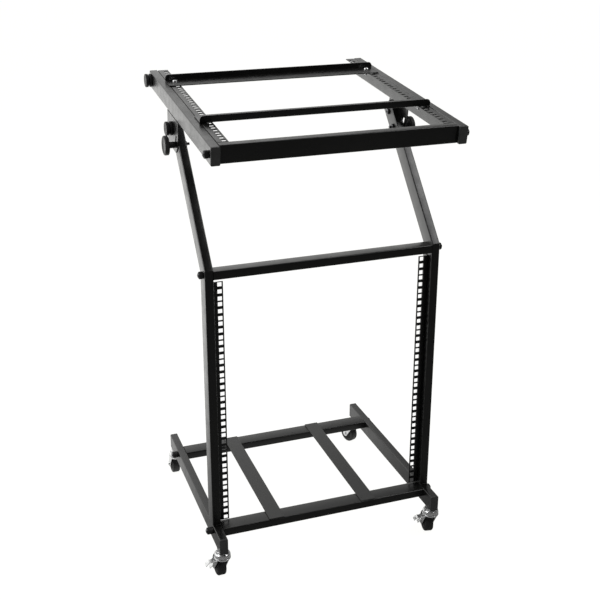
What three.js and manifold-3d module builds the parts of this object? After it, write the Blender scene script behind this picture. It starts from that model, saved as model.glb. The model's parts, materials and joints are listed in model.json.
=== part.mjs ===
// A rolling rack stand for studio gear: an upright rack between two bent posts on a caster base,
// with a rack table on top that tilts on two clamped pivots.
//
// Everything is in millimetres. X runs to the right, Y to the back and Z up. Heights start at the
// floor, widths at the middle and depths at the front face of the lower rack rails. The whole
// stand is moved at the end so that the middle of its footprint lies on the origin.

import * as THREE from 'three';
import { mergeVertices } from 'three/addons/utils/BufferGeometryUtils.js';
import Module from 'manifold-3d';

const wasm = await Module();
wasm.setup();

// Clearances
const FIT = 0.3;
const OVERRUN = 1;

// The two sides of the stand, and up and down
const LEFT = -1;
const RIGHT = 1;
const SIDES = [LEFT, RIGHT];
const UP = 1;
const DOWN = -1;
const ACROSS = [1, 0, 0];
const FULL_TURN = Math.PI * 2;

// Round pieces
const WHEEL_SIDES = 20;
const KNOB_SIDES = 18;
const DOME_SIDES = 16;
const BOLT_SIDES = 8;
const HEX_SIDES = 6;
const CORNER_STEPS = 2;
const ARC_STEPS = 7;

// Steel box tube of the whole frame
const TUBE_WIDTH = 19;
const TUBE_DEPTH = 38;
const TUBE_WALL = 1.5;
const TUBE_CORNER = 2.5;
const FRAME_WIDTH = 535;

// Base
const CASTER_HEIGHT = 78;
const BASE_LENGTH = 487;
const BASE_AHEAD = 72;
const FRONT_BEAM_AHEAD = 34;
const REAR_BEAM_INSET = 69;

// Straps across the base beams
const STRAP_WIDTH = 36;
const STRAP_THICK = 2;
const STRAP_INSET = 1;
const LEFT_STRAP_X = -121;
const RIGHT_STRAP_X = 105;

// Posts and arms
const POST_AHEAD = 15.5;
const ELBOW_RISE = 30.4;
const ARM_LEAN = THREE.MathUtils.degToRad(40.6);
const PIVOT_ALONG = 347.5;
const LOCK_RADIUS = 41;
const ARM_PAST_PIVOT = 18;
const MITRE_CUTTER_SHARE = 4;

// Upper beam between the posts
const UPPER_BEAM_DEPTH = 30;
const UPPER_BEAM_RISE = 9.5;

// Rack rails, with the square holes of the 19-inch rack pattern
const RACK_HOLE = 9.5;
const HOLE_PITCH = 15.875;
const UNIT_STEP = 12.7;
const HOLES_PER_UNIT = 3;
const HOLE_INSET = 15.95;
const RAIL_FLANGE = 23.5;
const RAIL_LEG = 20;
const RAIL_THICK = 2;
const LOWER_UNITS = 13;
const LOWER_RACK_RISE = 2.15;

// Table
const TABLE_TILT = THREE.MathUtils.degToRad(7.4);
const TABLE_LENGTH = 546;
const PIVOT_BACK = 322.4;
const PIVOT_DROP = 68.5;
const FRONT_TUBE_BACK = 8;
const TABLE_RACK_BACK = 28.8;

// Angle bars that lie across the table rails
const BAR_PAST_RAIL = 3.5;
const BAR_LIP = 46;
const BAR_RISE = 15;
const BAR_THICK = 2;
const BAR_CORNER = 8;
const MIDDLE_BAR_HOLE = 8;
const REAR_BAR_HOLE_FROM_REAR = 7;
const FACING_FRONT = 1;
const FACING_BACK = -1;

// Tilt brackets: plates under the table tubes, outside the arms
const PLATE_THICK = 2;
const PLATE_BACK = 41;
const PLATE_REACH = 57;
const PLATE_FOOT_DROP = 44;
const PLATE_FOOT_CORNER = 30;
const SLOT_WIDTH = 9;
const TILT_MIN = THREE.MathUtils.degToRad(0);
const TILT_MAX = THREE.MathUtils.degToRad(50);

// Plastic end caps
const CAP_THICK = 4;
const ARM_CAP_THICK = 2;
const CAP_PLUG = 6;

// Bolts of the frame with their black collars, and the threaded blocks in the beam ends
const BOLT_RADIUS = 4;
const BOLT_HEAD_RADIUS = 5.5;
const BOLT_HEAD_HEIGHT = 3.2;
const COLLAR_RADIUS = 8;
const COLLAR_LENGTH = 9;
const LONG_COLLAR_LENGTH = 14;
const SHORT_COLLAR_LENGTH = 5;
const FLAT_COLLAR_LENGTH = 1.5;
const COLLAR_EDGE = 1;
const INSERT_LENGTH = 26;
const BOLT_GRIP = 20;

// Screws of the angle bars
const BAR_SCREW_RADIUS = 3;
const BAR_SCREW_HEAD_RADIUS = 6;
const BAR_SCREW_HEAD_HEIGHT = 3.6;
const BAR_NUT_RADIUS = 6;
const BAR_NUT_HEIGHT = 5;
const BAR_SCREW_TAIL = 2.5;
const BAR_SCREW_INSET = 15;

// Pivot and lock bolts in the arms
const ARM_BOLT_HEAD_RADIUS = 7;
const ARM_BOLT_HEAD_HEIGHT = 5;
const LOCK_BOLT_TIP_RADIUS = 3;
const LOCK_BOLT_TIP = 5.5;

// Hand knobs
const KNOB_RADIUS = 15.5;
const KNOB_LENGTH = 14.5;
const KNOB_EDGE = 1.5;
const KNOB_BORE_DEPTH = 11;
const LOCK_HUB_RADIUS = 7;
const LOCK_HUB_LENGTH = 15.5;
const LOCK_DISC_RADIUS = 21.5;
const LOCK_DISC_LENGTH = 10;
const LOCK_DISC_EDGE = 3;
const LOCK_BORE_DEPTH = 12;
const REAR_KNOB_INSET = 17;
const REAR_NUT_RADIUS = 7;
const REAR_NUT_HEIGHT = 6;
const REAR_SCREW_TAIL = 2;

// Casters
const CASTER_INSET = 18;
const CASTER_TRAIL = 24;
const STEM_RADIUS = 4;
const STEM_FLANGE_RADIUS = 14;
const STEM_FLANGE = 2.5;
const STEM_PIN_RADIUS = 5;
const STEM_HEAD_RADIUS = 8;
const STEM_HEAD = 2;
const STEM_NUT_RADIUS = 7;
const STEM_NUT = 6.5;
const STEM_TAIL = 2;
const DOME_RADIUS = 19;
const DOME_HEIGHT = 15;
const DOME_CROWN = 12;
const DOME_SHOULDER = 2.8;
const LEG_GAP = 13;
const LEG_THICK = 2;
const LEG_TOP_HALF = 11;
const LEG_SEAT = 3;
const LEG_END_RADIUS = 8;
const LEG_WRAP = THREE.MathUtils.degToRad(12);
const WHEEL_RADIUS = 25;
const WHEEL_HALF = 10;
const HUB_HALF = 12.5;
const HUB_RADIUS = 7;
const TREAD_EDGE = 2.5;
const AXLE_RADIUS = 3;
const AXLE_HEAD_RADIUS = 5;
const AXLE_HEAD = 2.5;

// Brake levers of the front casters
const LEVER_OUT = 19.5;
const LEVER_HEIGHT = 46;
const LEVER_BACK = 9;
const LEVER_WIDTH = 12;
const LEVER_THICK = 1.8;
const LEVER_HUB_RADIUS = 3.6;
const LEVER_PIN_RADIUS = 2;
const EAR_THICK = 1.5;
const EAR_HALF = 4;
const EAR_PAST_PIN = 3;
const LEVER_TREAD_OUT = 18.5;
const LEVER_TREAD_BEND = 10.5;
const LEVER_TREAD_DROP = 6;
const LEVER_TAIL_OUT = 8;
const LEVER_TAIL_DROP = 12;

// Each caster: its place in X, the end of the base rail it stands under, how far it is swivelled
// at rest, and whether it has a brake
const CASTERS = [
  { name: 'front_left', side: LEFT, front: true, yaw: THREE.MathUtils.degToRad(2), brake: true },
  { name: 'front_right', side: RIGHT, front: true, yaw: THREE.MathUtils.degToRad(-11), brake: true },
  { name: 'rear_left', side: LEFT, front: false, yaw: THREE.MathUtils.degToRad(0), brake: false },
  { name: 'rear_right', side: RIGHT, front: false, yaw: THREE.MathUtils.degToRad(18), brake: false },
];

// Sizes that follow from the ones above
const half = length => length / 2;
const frameHalf = half(FRAME_WIDTH);
const innerHalf = frameHalf - TUBE_WIDTH;
const railX = frameHalf - half(TUBE_WIDTH);
const baseTop = CASTER_HEIGHT + TUBE_DEPTH;
const baseRear = BASE_LENGTH - BASE_AHEAD;
const frontBeamY = half(TUBE_DEPTH) - FRONT_BEAM_AHEAD;
const rearBeamY = baseRear - REAR_BEAM_INSET - half(TUBE_DEPTH);
const beamZ = baseTop - half(TUBE_WIDTH);
const rackUnit = HOLES_PER_UNIT * HOLE_PITCH - HOLE_PITCH + UNIT_STEP;
const rackTop = baseTop + LOWER_RACK_RISE + LOWER_UNITS * rackUnit;
const elbowZ = rackTop + ELBOW_RISE;
const upperBeamY = half(UPPER_BEAM_DEPTH) - POST_AHEAD;
const upperBeamZ = rackTop + UPPER_BEAM_RISE + half(TUBE_WIDTH);
const mitreAngle = half(ARM_LEAN);
const armLength = PIVOT_ALONG + ARM_PAST_PIVOT;
const armY = along => along * Math.sin(ARM_LEAN) + half(TUBE_DEPTH) * Math.cos(ARM_LEAN) - POST_AHEAD;
const armZ = along => elbowZ + along * Math.cos(ARM_LEAN) - half(TUBE_DEPTH) * Math.sin(ARM_LEAN);
const pivotY = armY(PIVOT_ALONG);
const pivotZ = armZ(PIVOT_ALONG);
const lockY = armY(PIVOT_ALONG - LOCK_RADIUS);
const lockZ = armZ(PIVOT_ALONG - LOCK_RADIUS);
const tableHalf = frameHalf + FIT + PLATE_THICK;
const tableInner = tableHalf - TUBE_WIDTH;
const axleHeight = WHEEL_RADIUS * Math.cos(Math.PI / WHEEL_SIDES);
const domeTop = CASTER_HEIGHT - STEM_FLANGE - FIT - FIT;
const domeBottom = domeTop - DOME_HEIGHT;
const stemNutZ = CASTER_HEIGHT + half(TUBE_WALL);

// Height of a rack hole over the bottom of its rack: holes come in threes, one set to a unit
const rackHole = index => {
  const unit = Math.floor(index / HOLES_PER_UNIT);
  return unit * rackUnit + half(UNIT_STEP) + (index % HOLES_PER_UNIT) * HOLE_PITCH;
};

// Table places: back from its front end and up from its top face, seen from the pivot
const tableY = back => back - PIVOT_BACK;
const tableZ = up => PIVOT_DROP + up;

// Paints and metals
const finish = (color, roughness, metalness) =>
  new THREE.MeshStandardMaterial({ color, roughness, metalness });
const blackPaint = () => finish(0x1c1c1d, 0.42, 0.35);
const blackPlastic = () => finish(0x17171a, 0.6, 0);
const greyPlastic = () => finish(0x2d2e30, 0.65, 0);
const zinc = () => finish(0xc9ccd0, 0.3, 0.9);
const blackRubber = () => finish(0x141415, 0.8, 0);

// A closed geometry becomes a solid that can be cut and joined
function solid(geometry) {
  const bare = geometry.clone();
  bare.deleteAttribute('normal');
  bare.deleteAttribute('uv');
  const merged = mergeVertices(bare);
  const numProp = merged.attributes.position.itemSize;
  const vertProperties = new Float32Array(merged.attributes.position.array);
  const triVerts = new Uint32Array(merged.index.array);
  const mesh = new wasm.Mesh({ numProp, vertProperties, triVerts });
  mesh.merge();
  return new wasm.Manifold(mesh);
}

function piece(name, body, material, place = [0, 0, 0]) {
  const { numProp, vertProperties, triVerts } = body.getMesh();
  const geometry = new THREE.BufferGeometry();
  geometry.setAttribute('position', new THREE.BufferAttribute(vertProperties, numProp));
  geometry.setIndex(new THREE.BufferAttribute(triVerts, 1));
  geometry.computeVertexNormals();
  const mesh = new THREE.Mesh(geometry, material);
  mesh.name = name;
  mesh.position.set(...place);
  return mesh;
}

const joined = bodies => bodies.reduce((all, body) => all.add(body));
const cut = (body, tools) => tools.reduce((rest, tool) => rest.subtract(tool), body);
const sideName = side => (side < 0 ? 'left' : 'right');
const mirrored = (body, side) => (side > 0 ? body : body.mirror(ACROSS));

// Basic shapes

function block([x0, x1], [y0, y1], [z0, z1]) {
  const box = new THREE.BoxGeometry(x1 - x0, y1 - y0, z1 - z0);
  return solid(box.translate(half(x0 + x1), half(y0 + y1), half(z0 + z1)));
}

// A rounded rectangle in the plane, wide along X and deep along Y, its middle on the origin
function roundedOutline(wide, deep, corner) {
  const outline = new THREE.Shape();
  const quarter = half(Math.PI);
  const centres = [[1, 1], [-1, 1], [-1, -1], [1, -1]];
  centres.forEach(([right, back], index) => {
    const x = right * (half(wide) - corner);
    const y = back * (half(deep) - corner);
    outline.absarc(x, y, corner, index * quarter, (index + 1) * quarter, false);
  });
  outline.closePath();
  return outline;
}

function rectanglePath([x0, x1], [y0, y1]) {
  const path = new THREE.Path();
  path.moveTo(x0, y0);
  path.lineTo(x0, y1);
  path.lineTo(x1, y1);
  path.lineTo(x1, y0);
  path.closePath();
  return path;
}

function extruded(outline, depth, curveSegments = CORNER_STEPS) {
  return new THREE.ExtrudeGeometry(outline, { depth, bevelEnabled: false, curveSegments });
}

// Box tube along +Z from the origin, open at both ends
function boxTube(wide, deep, length) {
  const outline = roundedOutline(wide, deep, TUBE_CORNER);
  const x = half(wide) - TUBE_WALL;
  const y = half(deep) - TUBE_WALL;
  outline.holes.push(rectanglePath([-x, x], [-y, y]));
  return extruded(outline, length);
}

// Plug and flange that close a box tube; the flange's inner face is on the origin, the plug below
function endCap(wide, deep, thick) {
  const inside = TUBE_WALL + FIT;
  const flange = solid(extruded(roundedOutline(wide, deep, TUBE_CORNER), thick));
  const x = half(wide) - inside;
  const y = half(deep) - inside;
  return flange.add(block([-x, x], [-y, y], [-CAP_PLUG, 0]));
}

// Turned shapes, from rows of [radius, height] turned round +Y: one starts and ends on the axis,
// the other's profile closes on itself
function lathe(profile, sides, phase = 0) {
  return new THREE.LatheGeometry(profile.map(point => new THREE.Vector2(...point)), sides, phase);
}

function turned(profile, sides, phase = 0) {
  return lathe([...profile, profile[0]], sides, phase);
}

const alongX = (geometry, side = 1) => geometry.rotateZ(-side * half(Math.PI));
const alongZ = geometry => geometry.rotateX(half(Math.PI));

// Plain round bar from one end to the other, for holes and pins
function barX(radius, [x0, x1], y, z, sides = BOLT_SIDES) {
  const bar = alongX(new THREE.CylinderGeometry(radius, radius, x1 - x0, sides));
  return solid(bar.translate(half(x0 + x1), y, z));
}

function barY(radius, x, [y0, y1], z, sides = BOLT_SIDES) {
  const bar = new THREE.CylinderGeometry(radius, radius, y1 - y0, sides);
  return solid(bar.translate(x, half(y0 + y1), z));
}

function barZ(radius, x, y, [z0, z1], sides = BOLT_SIDES) {
  const bar = alongZ(new THREE.CylinderGeometry(radius, radius, z1 - z0, sides));
  return solid(bar.translate(x, y, half(z0 + z1)));
}

// Radius of a faceted hole that clears a round pin all round
const holeRadius = radius => (radius + FIT) / Math.cos(Math.PI / BOLT_SIDES);

const acrossTube = [-half(TUBE_WIDTH) - OVERRUN, half(TUBE_WIDTH) + OVERRUN];
const boltHole = (y, z) => barX(holeRadius(BOLT_RADIUS), acrossTube, y, z);

// Base

function baseRail(side) {
  const length = BASE_LENGTH - CAP_THICK - CAP_THICK - FIT - FIT;
  const tube = boxTube(TUBE_WIDTH, TUBE_DEPTH, length).rotateX(-half(Math.PI));
  const rail = solid(tube.translate(0, CAP_THICK + FIT - BASE_AHEAD, CASTER_HEIGHT + half(TUBE_DEPTH)));
  const wall = [CASTER_HEIGHT - OVERRUN, CASTER_HEIGHT + TUBE_WALL + OVERRUN];
  const stemHoles = [true, false].map(front => barZ(holeRadius(STEM_RADIUS), 0, casterY(front), wall));
  const bolts = [frontBeamY, rearBeamY].map(y => boltHole(y, beamZ));
  const nuts = [true, false].map(front => placed(stemNut(), noTurn, [0, casterY(front), stemNutZ]));
  const body = joined([cut(rail, [...stemHoles, ...bolts]), ...nuts]);
  return piece(`${sideName(side)}_base_rail`, body, blackPaint(), [side * railX, 0, 0]);
}

// Nut welded on the rail's floor, round the stem of a caster
function stemNut() {
  const hex = barZ(STEM_NUT_RADIUS, 0, 0, [0, STEM_NUT], HEX_SIDES);
  return hex.subtract(barZ(holeRadius(STEM_RADIUS), 0, 0, [-OVERRUN, STEM_NUT + OVERRUN]));
}

// Caps in both ends of a pair of tubes that run from front to rear
function endCaps(prefix, x, front, rear, z) {
  return SIDES.flatMap(side => [true, false].map(ahead => {
    const name = `${prefix}_${ahead ? 'front' : 'rear'}_${sideName(side)}_cap`;
    const y = ahead ? front + CAP_THICK : rear - CAP_THICK;
    const mesh = piece(name, endCap(TUBE_WIDTH, TUBE_DEPTH, CAP_THICK), greyPlastic(), [side * x, y, z]);
    mesh.rotation.x = ahead ? half(Math.PI) : -half(Math.PI);
    return mesh;
  }));
}

// Moves a solid by a turn and then a shift
function placed(body, turn, [x, y, z]) {
  const shift = new THREE.Matrix4().makeTranslation(x, y, z);
  return body.transform(shift.multiply(turn).elements);
}

const noTurn = new THREE.Matrix4();

// Box tube across the stand between two side tubes, with a threaded block welded in each end and
// the bolt that holds it there from outside
function crossTube(tall, deep, inner, collars = [COLLAR_LENGTH, COLLAR_LENGTH]) {
  const length = inner + inner - FIT - FIT;
  const tube = boxTube(tall, deep, length).translate(0, 0, -half(length));
  const threads = SIDES.map(side => threadedBlock(side, tall, deep, inner - FIT));
  const seat = inner + TUBE_WIDTH + FIT;
  const bolt = (side, collar) => placed(collarBolt(side, collar), noTurn, [side * seat, 0, 0]);
  const bolts = SIDES.map((side, index) => bolt(side, collars[index]));
  return joined([solid(tube.rotateY(half(Math.PI))), ...threads, ...bolts]);
}

function threadedBlock(side, tall, deep, end) {
  const inside = wide => half(wide) - half(TUBE_WALL);
  const y = tall < deep ? COLLAR_RADIUS : inside(deep);
  const z = tall < deep ? inside(tall) : COLLAR_RADIUS;
  return mirrored(block([end - INSERT_LENGTH, end - TUBE_WALL], [-y, y], [-z, z]), side);
}

// Bolt with a black collar under its head; the seat of the collar is at x = 0
function collarBolt(side, collar) {
  const length = FIT + TUBE_WIDTH + FIT + BOLT_GRIP;
  const profile = [
    [0, -length],
    [BOLT_RADIUS, -length],
    [BOLT_RADIUS, 0],
    [COLLAR_RADIUS, 0],
    [COLLAR_RADIUS, collar - COLLAR_EDGE],
    [COLLAR_RADIUS - COLLAR_EDGE, collar],
    [BOLT_HEAD_RADIUS, collar],
    [BOLT_HEAD_RADIUS, collar + half(BOLT_HEAD_HEIGHT)],
    [half(BOLT_HEAD_RADIUS), collar + BOLT_HEAD_HEIGHT],
    [0, collar + BOLT_HEAD_HEIGHT],
  ];
  return solid(alongX(lathe(profile, BOLT_SIDES), side));
}

// The base bolts' collars are long on the left and short on the right
function baseBeam(name, y, rightCollar) {
  const collars = [LONG_COLLAR_LENGTH, rightCollar];
  return piece(name, crossTube(TUBE_WIDTH, TUBE_DEPTH, innerHalf, collars), blackPaint(), [0, y, beamZ]);
}

// Flat strap welded over both beams
function strap(side, x) {
  const front = frontBeamY - half(TUBE_DEPTH) + STRAP_INSET;
  const rear = rearBeamY + half(TUBE_DEPTH) - STRAP_INSET;
  const across = [-half(STRAP_WIDTH), half(STRAP_WIDTH)];
  const plate = block(across, [front, rear], [FIT, FIT + STRAP_THICK]);
  return piece(`${sideName(side)}_strap`, plate, blackPaint(), [x, 0, baseTop]);
}

// Domed head on the origin with its shank running down -Y, turned
function screwShape(radius, headRadius, headHeight, length, sides = BOLT_SIDES) {
  return lathe([
    [0, -length],
    [radius, -length],
    [radius, 0],
    [headRadius, 0],
    [headRadius, half(headHeight)],
    [half(headRadius), headHeight],
    [0, headHeight],
  ], sides);
}

// Posts and arms

// Large block above or below the mitre plane, leaning by the given angle and lifted off it
function mitreCutter(angle, lift, up) {
  const size = TUBE_DEPTH * MITRE_CUTTER_SHARE;
  const box = new THREE.BoxGeometry(size, size, size).translate(0, 0, up * (half(size) + lift));
  return solid(box.rotateX(angle));
}

function post(side) {
  const length = elbowZ - baseTop - FIT;
  const tube = solid(boxTube(TUBE_WIDTH, TUBE_DEPTH, length).translate(0, half(TUBE_DEPTH), -length));
  const bolt = boltHole(upperBeamY + POST_AHEAD, upperBeamZ - elbowZ);
  const body = cut(tube, [mitreCutter(-mitreAngle, -half(FIT), UP), bolt]);
  return piece(`${sideName(side)}_post`, body, blackPaint(), [side * railX, -POST_AHEAD, elbowZ]);
}

function arm(side) {
  const tube = solid(boxTube(TUBE_WIDTH, TUBE_DEPTH, armLength).translate(0, half(TUBE_DEPTH), 0));
  const bolts = [PIVOT_ALONG, PIVOT_ALONG - LOCK_RADIUS].map(z => boltHole(half(TUBE_DEPTH), z));
  const body = cut(tube, [mitreCutter(mitreAngle, -half(FIT), DOWN), ...bolts]);
  const mesh = piece(`${sideName(side)}_arm`, body, blackPaint(), [side * railX, -POST_AHEAD, elbowZ]);
  mesh.rotation.x = -ARM_LEAN;
  return mesh;
}

function armEndCap(side) {
  const along = armLength + FIT;
  const place = [side * railX, armY(along), armZ(along)];
  const bolt = barX(holeRadius(BOLT_RADIUS + FIT), acrossTube, 0, -ARM_PAST_PIVOT - FIT);
  const body = cut(endCap(TUBE_WIDTH, TUBE_DEPTH, ARM_CAP_THICK), [bolt]);
  const mesh = piece(`${sideName(side)}_arm_cap`, body, blackPlastic(), place);
  mesh.rotation.x = -ARM_LEAN;
  return mesh;
}

// Rack rail along +Z: flange on the plane y = 0 with the square holes, leg to the back.
// The tube's face is at x = 0 and the flange runs from it to the negative side.
function rackRail(length, holeHeights) {
  const outline = new THREE.Shape();
  outline.moveTo(-RAIL_FLANGE, 0);
  outline.lineTo(-FIT, 0);
  outline.lineTo(-FIT, length);
  outline.lineTo(-RAIL_FLANGE, length);
  outline.closePath();
  const reach = half(RACK_HOLE);
  holeHeights.forEach(z => {
    const across = [-HOLE_INSET - reach, reach - HOLE_INSET];
    outline.holes.push(rectanglePath(across, [z - reach, z + reach]));
  });
  const sheet = extruded(outline, RAIL_THICK).rotateX(half(Math.PI));
  const flange = solid(sheet.translate(0, RAIL_THICK, 0));
  return flange.add(block([-FIT - RAIL_THICK, -FIT], [half(RAIL_THICK), RAIL_LEG], [0, length]));
}

function lowerRail(side) {
  const length = LOWER_UNITS * rackUnit;
  const heights = [...Array(LOWER_UNITS * HOLES_PER_UNIT).keys()].map(rackHole);
  const body = mirrored(rackRail(length, heights), side);
  const place = [side * innerHalf, 0, rackTop - length];
  return piece(`${sideName(side)}_rack_rail`, body, blackPaint(), place);
}

function upperBeam() {
  const body = crossTube(TUBE_WIDTH, UPPER_BEAM_DEPTH, innerHalf);
  return piece('upper_beam', body, blackPaint(), [0, upperBeamY, upperBeamZ]);
}

// Bolt through an arm, on its right side: head on the inner face, end in the knob outside
function armBolt(reach) {
  const length = TUBE_WIDTH + FIT + FIT + PLATE_THICK + FIT + reach;
  return solid(alongX(screwShape(BOLT_RADIUS, ARM_BOLT_HEAD_RADIUS, ARM_BOLT_HEAD_HEIGHT, length), LEFT));
}

function pivotBolt(side) {
  const body = mirrored(armBolt(KNOB_BORE_DEPTH - OVERRUN), side);
  const place = [side * (innerHalf - FIT), pivotY, pivotZ];
  return piece(`${sideName(side)}_pivot_bolt`, body, zinc(), place);
}

// The lock bolt's tip stands out past its head
function lockBolt(side) {
  const tip = barX(LOCK_BOLT_TIP_RADIUS, [-ARM_BOLT_HEAD_HEIGHT - LOCK_BOLT_TIP, 0], 0, 0);
  const body = armBolt(LOCK_BORE_DEPTH - OVERRUN).add(tip);
  const place = [side * (innerHalf - FIT), lockY, lockZ];
  return piece(`${sideName(side)}_lock_bolt`, mirrored(body, side), zinc(), place);
}

// Knobs, with the clamped face at x = 0 and the knob outwards

// Outline of the round knobs
function knobRows() {
  return [
    [KNOB_RADIUS - KNOB_EDGE, 0],
    [KNOB_RADIUS, KNOB_EDGE],
    [KNOB_RADIUS, KNOB_LENGTH - KNOB_EDGE],
    [KNOB_RADIUS - KNOB_EDGE, KNOB_LENGTH],
    [0, KNOB_LENGTH],
  ];
}

function pivotKnob(side) {
  const bore = BOLT_RADIUS + FIT;
  const profile = [[0, KNOB_BORE_DEPTH], [bore, KNOB_BORE_DEPTH], [bore, 0], ...knobRows()];
  const body = solid(alongX(lathe(profile, KNOB_SIDES), side));
  const place = [side * (tableHalf + FIT), pivotY, pivotZ];
  return piece(`${sideName(side)}_pivot_knob`, body, blackPlastic(), place);
}

function lockKnob(side) {
  const end = LOCK_HUB_LENGTH + LOCK_DISC_LENGTH;
  const bore = BOLT_RADIUS + FIT;
  const profile = [
    [0, LOCK_BORE_DEPTH],
    [bore, LOCK_BORE_DEPTH],
    [bore, 0],
    [LOCK_HUB_RADIUS, 0],
    [LOCK_HUB_RADIUS, LOCK_HUB_LENGTH],
    [LOCK_DISC_RADIUS - KNOB_EDGE, LOCK_HUB_LENGTH],
    [LOCK_DISC_RADIUS, LOCK_HUB_LENGTH + KNOB_EDGE],
    [LOCK_DISC_RADIUS, end - LOCK_DISC_EDGE],
    [LOCK_DISC_RADIUS - KNOB_EDGE, end - KNOB_EDGE],
    [LOCK_DISC_RADIUS - LOCK_DISC_EDGE, end],
    [0, end],
  ];
  const body = solid(alongX(lathe(profile, KNOB_SIDES), side));
  const place = [side * (tableHalf + FIT), lockY, lockZ];
  return piece(`${sideName(side)}_lock_knob`, body, blackPlastic(), place);
}

// Table

const tubeMiddle = tableZ(-half(TUBE_DEPTH));
const rearKnobY = tableY(TABLE_LENGTH - REAR_KNOB_INSET);
const rearKnobReach = FIT + TUBE_WALL + REAR_NUT_HEIGHT + REAR_SCREW_TAIL;

function tableTube(side) {
  const length = TABLE_LENGTH - CAP_THICK - CAP_THICK - FIT - FIT;
  const tube = boxTube(TUBE_WIDTH, TUBE_DEPTH, length).rotateX(-half(Math.PI));
  const whole = solid(tube.translate(0, tableY(CAP_THICK + FIT), tubeMiddle));
  const bolted = cut(whole, [boltHole(tableY(FRONT_TUBE_BACK + half(TUBE_WIDTH)), tubeMiddle)]);
  const body = side === LEFT ? rearThread(bolted) : bolted;
  const place = [side * (tableHalf - half(TUBE_WIDTH)), 0, 0];
  return piece(`table_${sideName(side)}_tube`, body, blackPaint(), place);
}

// Hole for the rear knob's screw in the left tube's outer wall, with a nut welded inside
function rearThread(tube) {
  const wall = half(TUBE_WIDTH) - TUBE_WALL;
  const bore = [-half(TUBE_WIDTH) - OVERRUN, REAR_NUT_HEIGHT + OVERRUN - wall];
  const nut = [-wall - half(TUBE_WALL), REAR_NUT_HEIGHT - wall];
  const threaded = tube.add(barX(REAR_NUT_RADIUS, nut, rearKnobY, tubeMiddle, HEX_SIDES));
  return cut(threaded, [barX(holeRadius(BOLT_RADIUS), bore, rearKnobY, tubeMiddle)]);
}

function tableFrontTube() {
  const body = crossTube(TUBE_DEPTH, TUBE_WIDTH, tableInner);
  const place = [0, tableY(FRONT_TUBE_BACK + half(TUBE_WIDTH)), tubeMiddle];
  return piece('table_front_tube', body, blackPaint(), place);
}

// The rails end where the caps of the side tubes start, and take as many holes as fit
const tableRailStart = FRONT_TUBE_BACK + TUBE_WIDTH + FIT;
const tableRailEnd = TABLE_LENGTH - CAP_THICK;
const tableHoles = [...Array(Math.ceil(TABLE_LENGTH / UNIT_STEP)).keys()]
  .map(index => TABLE_RACK_BACK + rackHole(index))
  .filter(back => back + half(UNIT_STEP) < tableRailEnd);

function tableRail(side) {
  const rail = rackRail(tableRailEnd - tableRailStart, tableHoles.map(back => back - tableRailStart));
  const flat = new THREE.Matrix4().makeRotationX(-half(Math.PI));
  const laid = placed(rail, flat, [0, tableY(tableRailStart), tableZ(0)]);
  return piece(`table_${sideName(side)}_rail`, mirrored(laid, side), blackPaint(), [side * tableInner, 0, 0]);
}

const barScrewX = tableInner - HOLE_INSET;

// Angle bar along X: lip on the rails, facing the front or the back, and a flange upright behind it
function angleBar(name, back, facing) {
  const flange = new THREE.Shape();
  const x = tableInner + BAR_PAST_RAIL;
  const top = BAR_RISE - BAR_CORNER;
  flange.moveTo(-x, 0);
  flange.lineTo(x, 0);
  flange.absarc(x - BAR_CORNER, top, BAR_CORNER, 0, half(Math.PI), false);
  flange.absarc(BAR_CORNER - x, top, BAR_CORNER, half(Math.PI), Math.PI, false);
  flange.closePath();
  const upright = solid(extruded(flange, BAR_THICK).rotateX(half(Math.PI)));
  const depth = facing === FACING_FRONT ? [-BAR_LIP, 0] : [-BAR_THICK, BAR_LIP - BAR_THICK];
  const lip = block([-x, x], depth, [0, BAR_THICK]);
  const y = barScrewOffset(facing);
  const screws = SIDES.map(side => placed(barScrew(), noTurn, [side * barScrewX, y, BAR_THICK]));
  return piece(name, joined([upright, lip, ...screws]), blackPaint(), [0, tableY(back), tableZ(FIT)]);
}

const barScrewOffset = facing =>
  (facing === FACING_FRONT ? -BAR_SCREW_INSET : BAR_SCREW_INSET - BAR_THICK);

const middleBarBack = tableHoles[MIDDLE_BAR_HOLE] - barScrewOffset(FACING_BACK);
const rearBarBack = tableHoles.at(-REAR_BAR_HOLE_FROM_REAR) - barScrewOffset(FACING_FRONT);

// Screw down through the lip and a rack hole, with its nut under the rail
function barScrew() {
  const nutTop = -BAR_THICK - FIT - RAIL_THICK - FIT;
  const end = nutTop - BAR_NUT_HEIGHT - BAR_SCREW_TAIL;
  const screw = lathe([
    [0, end],
    [BAR_SCREW_RADIUS, end],
    [BAR_SCREW_RADIUS, nutTop - BAR_NUT_HEIGHT],
    [BAR_NUT_RADIUS, nutTop - BAR_NUT_HEIGHT],
    [BAR_NUT_RADIUS, nutTop],
    [BAR_SCREW_RADIUS, nutTop],
    [BAR_SCREW_RADIUS, -half(BAR_THICK)],
    [BAR_SCREW_HEAD_RADIUS, 0],
    [BAR_SCREW_HEAD_RADIUS, half(BAR_SCREW_HEAD_HEIGHT)],
    [half(BAR_SCREW_HEAD_RADIUS), BAR_SCREW_HEAD_HEIGHT],
    [0, BAR_SCREW_HEAD_HEIGHT],
  ], BOLT_SIDES);
  return solid(alongZ(screw));
}

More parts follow.
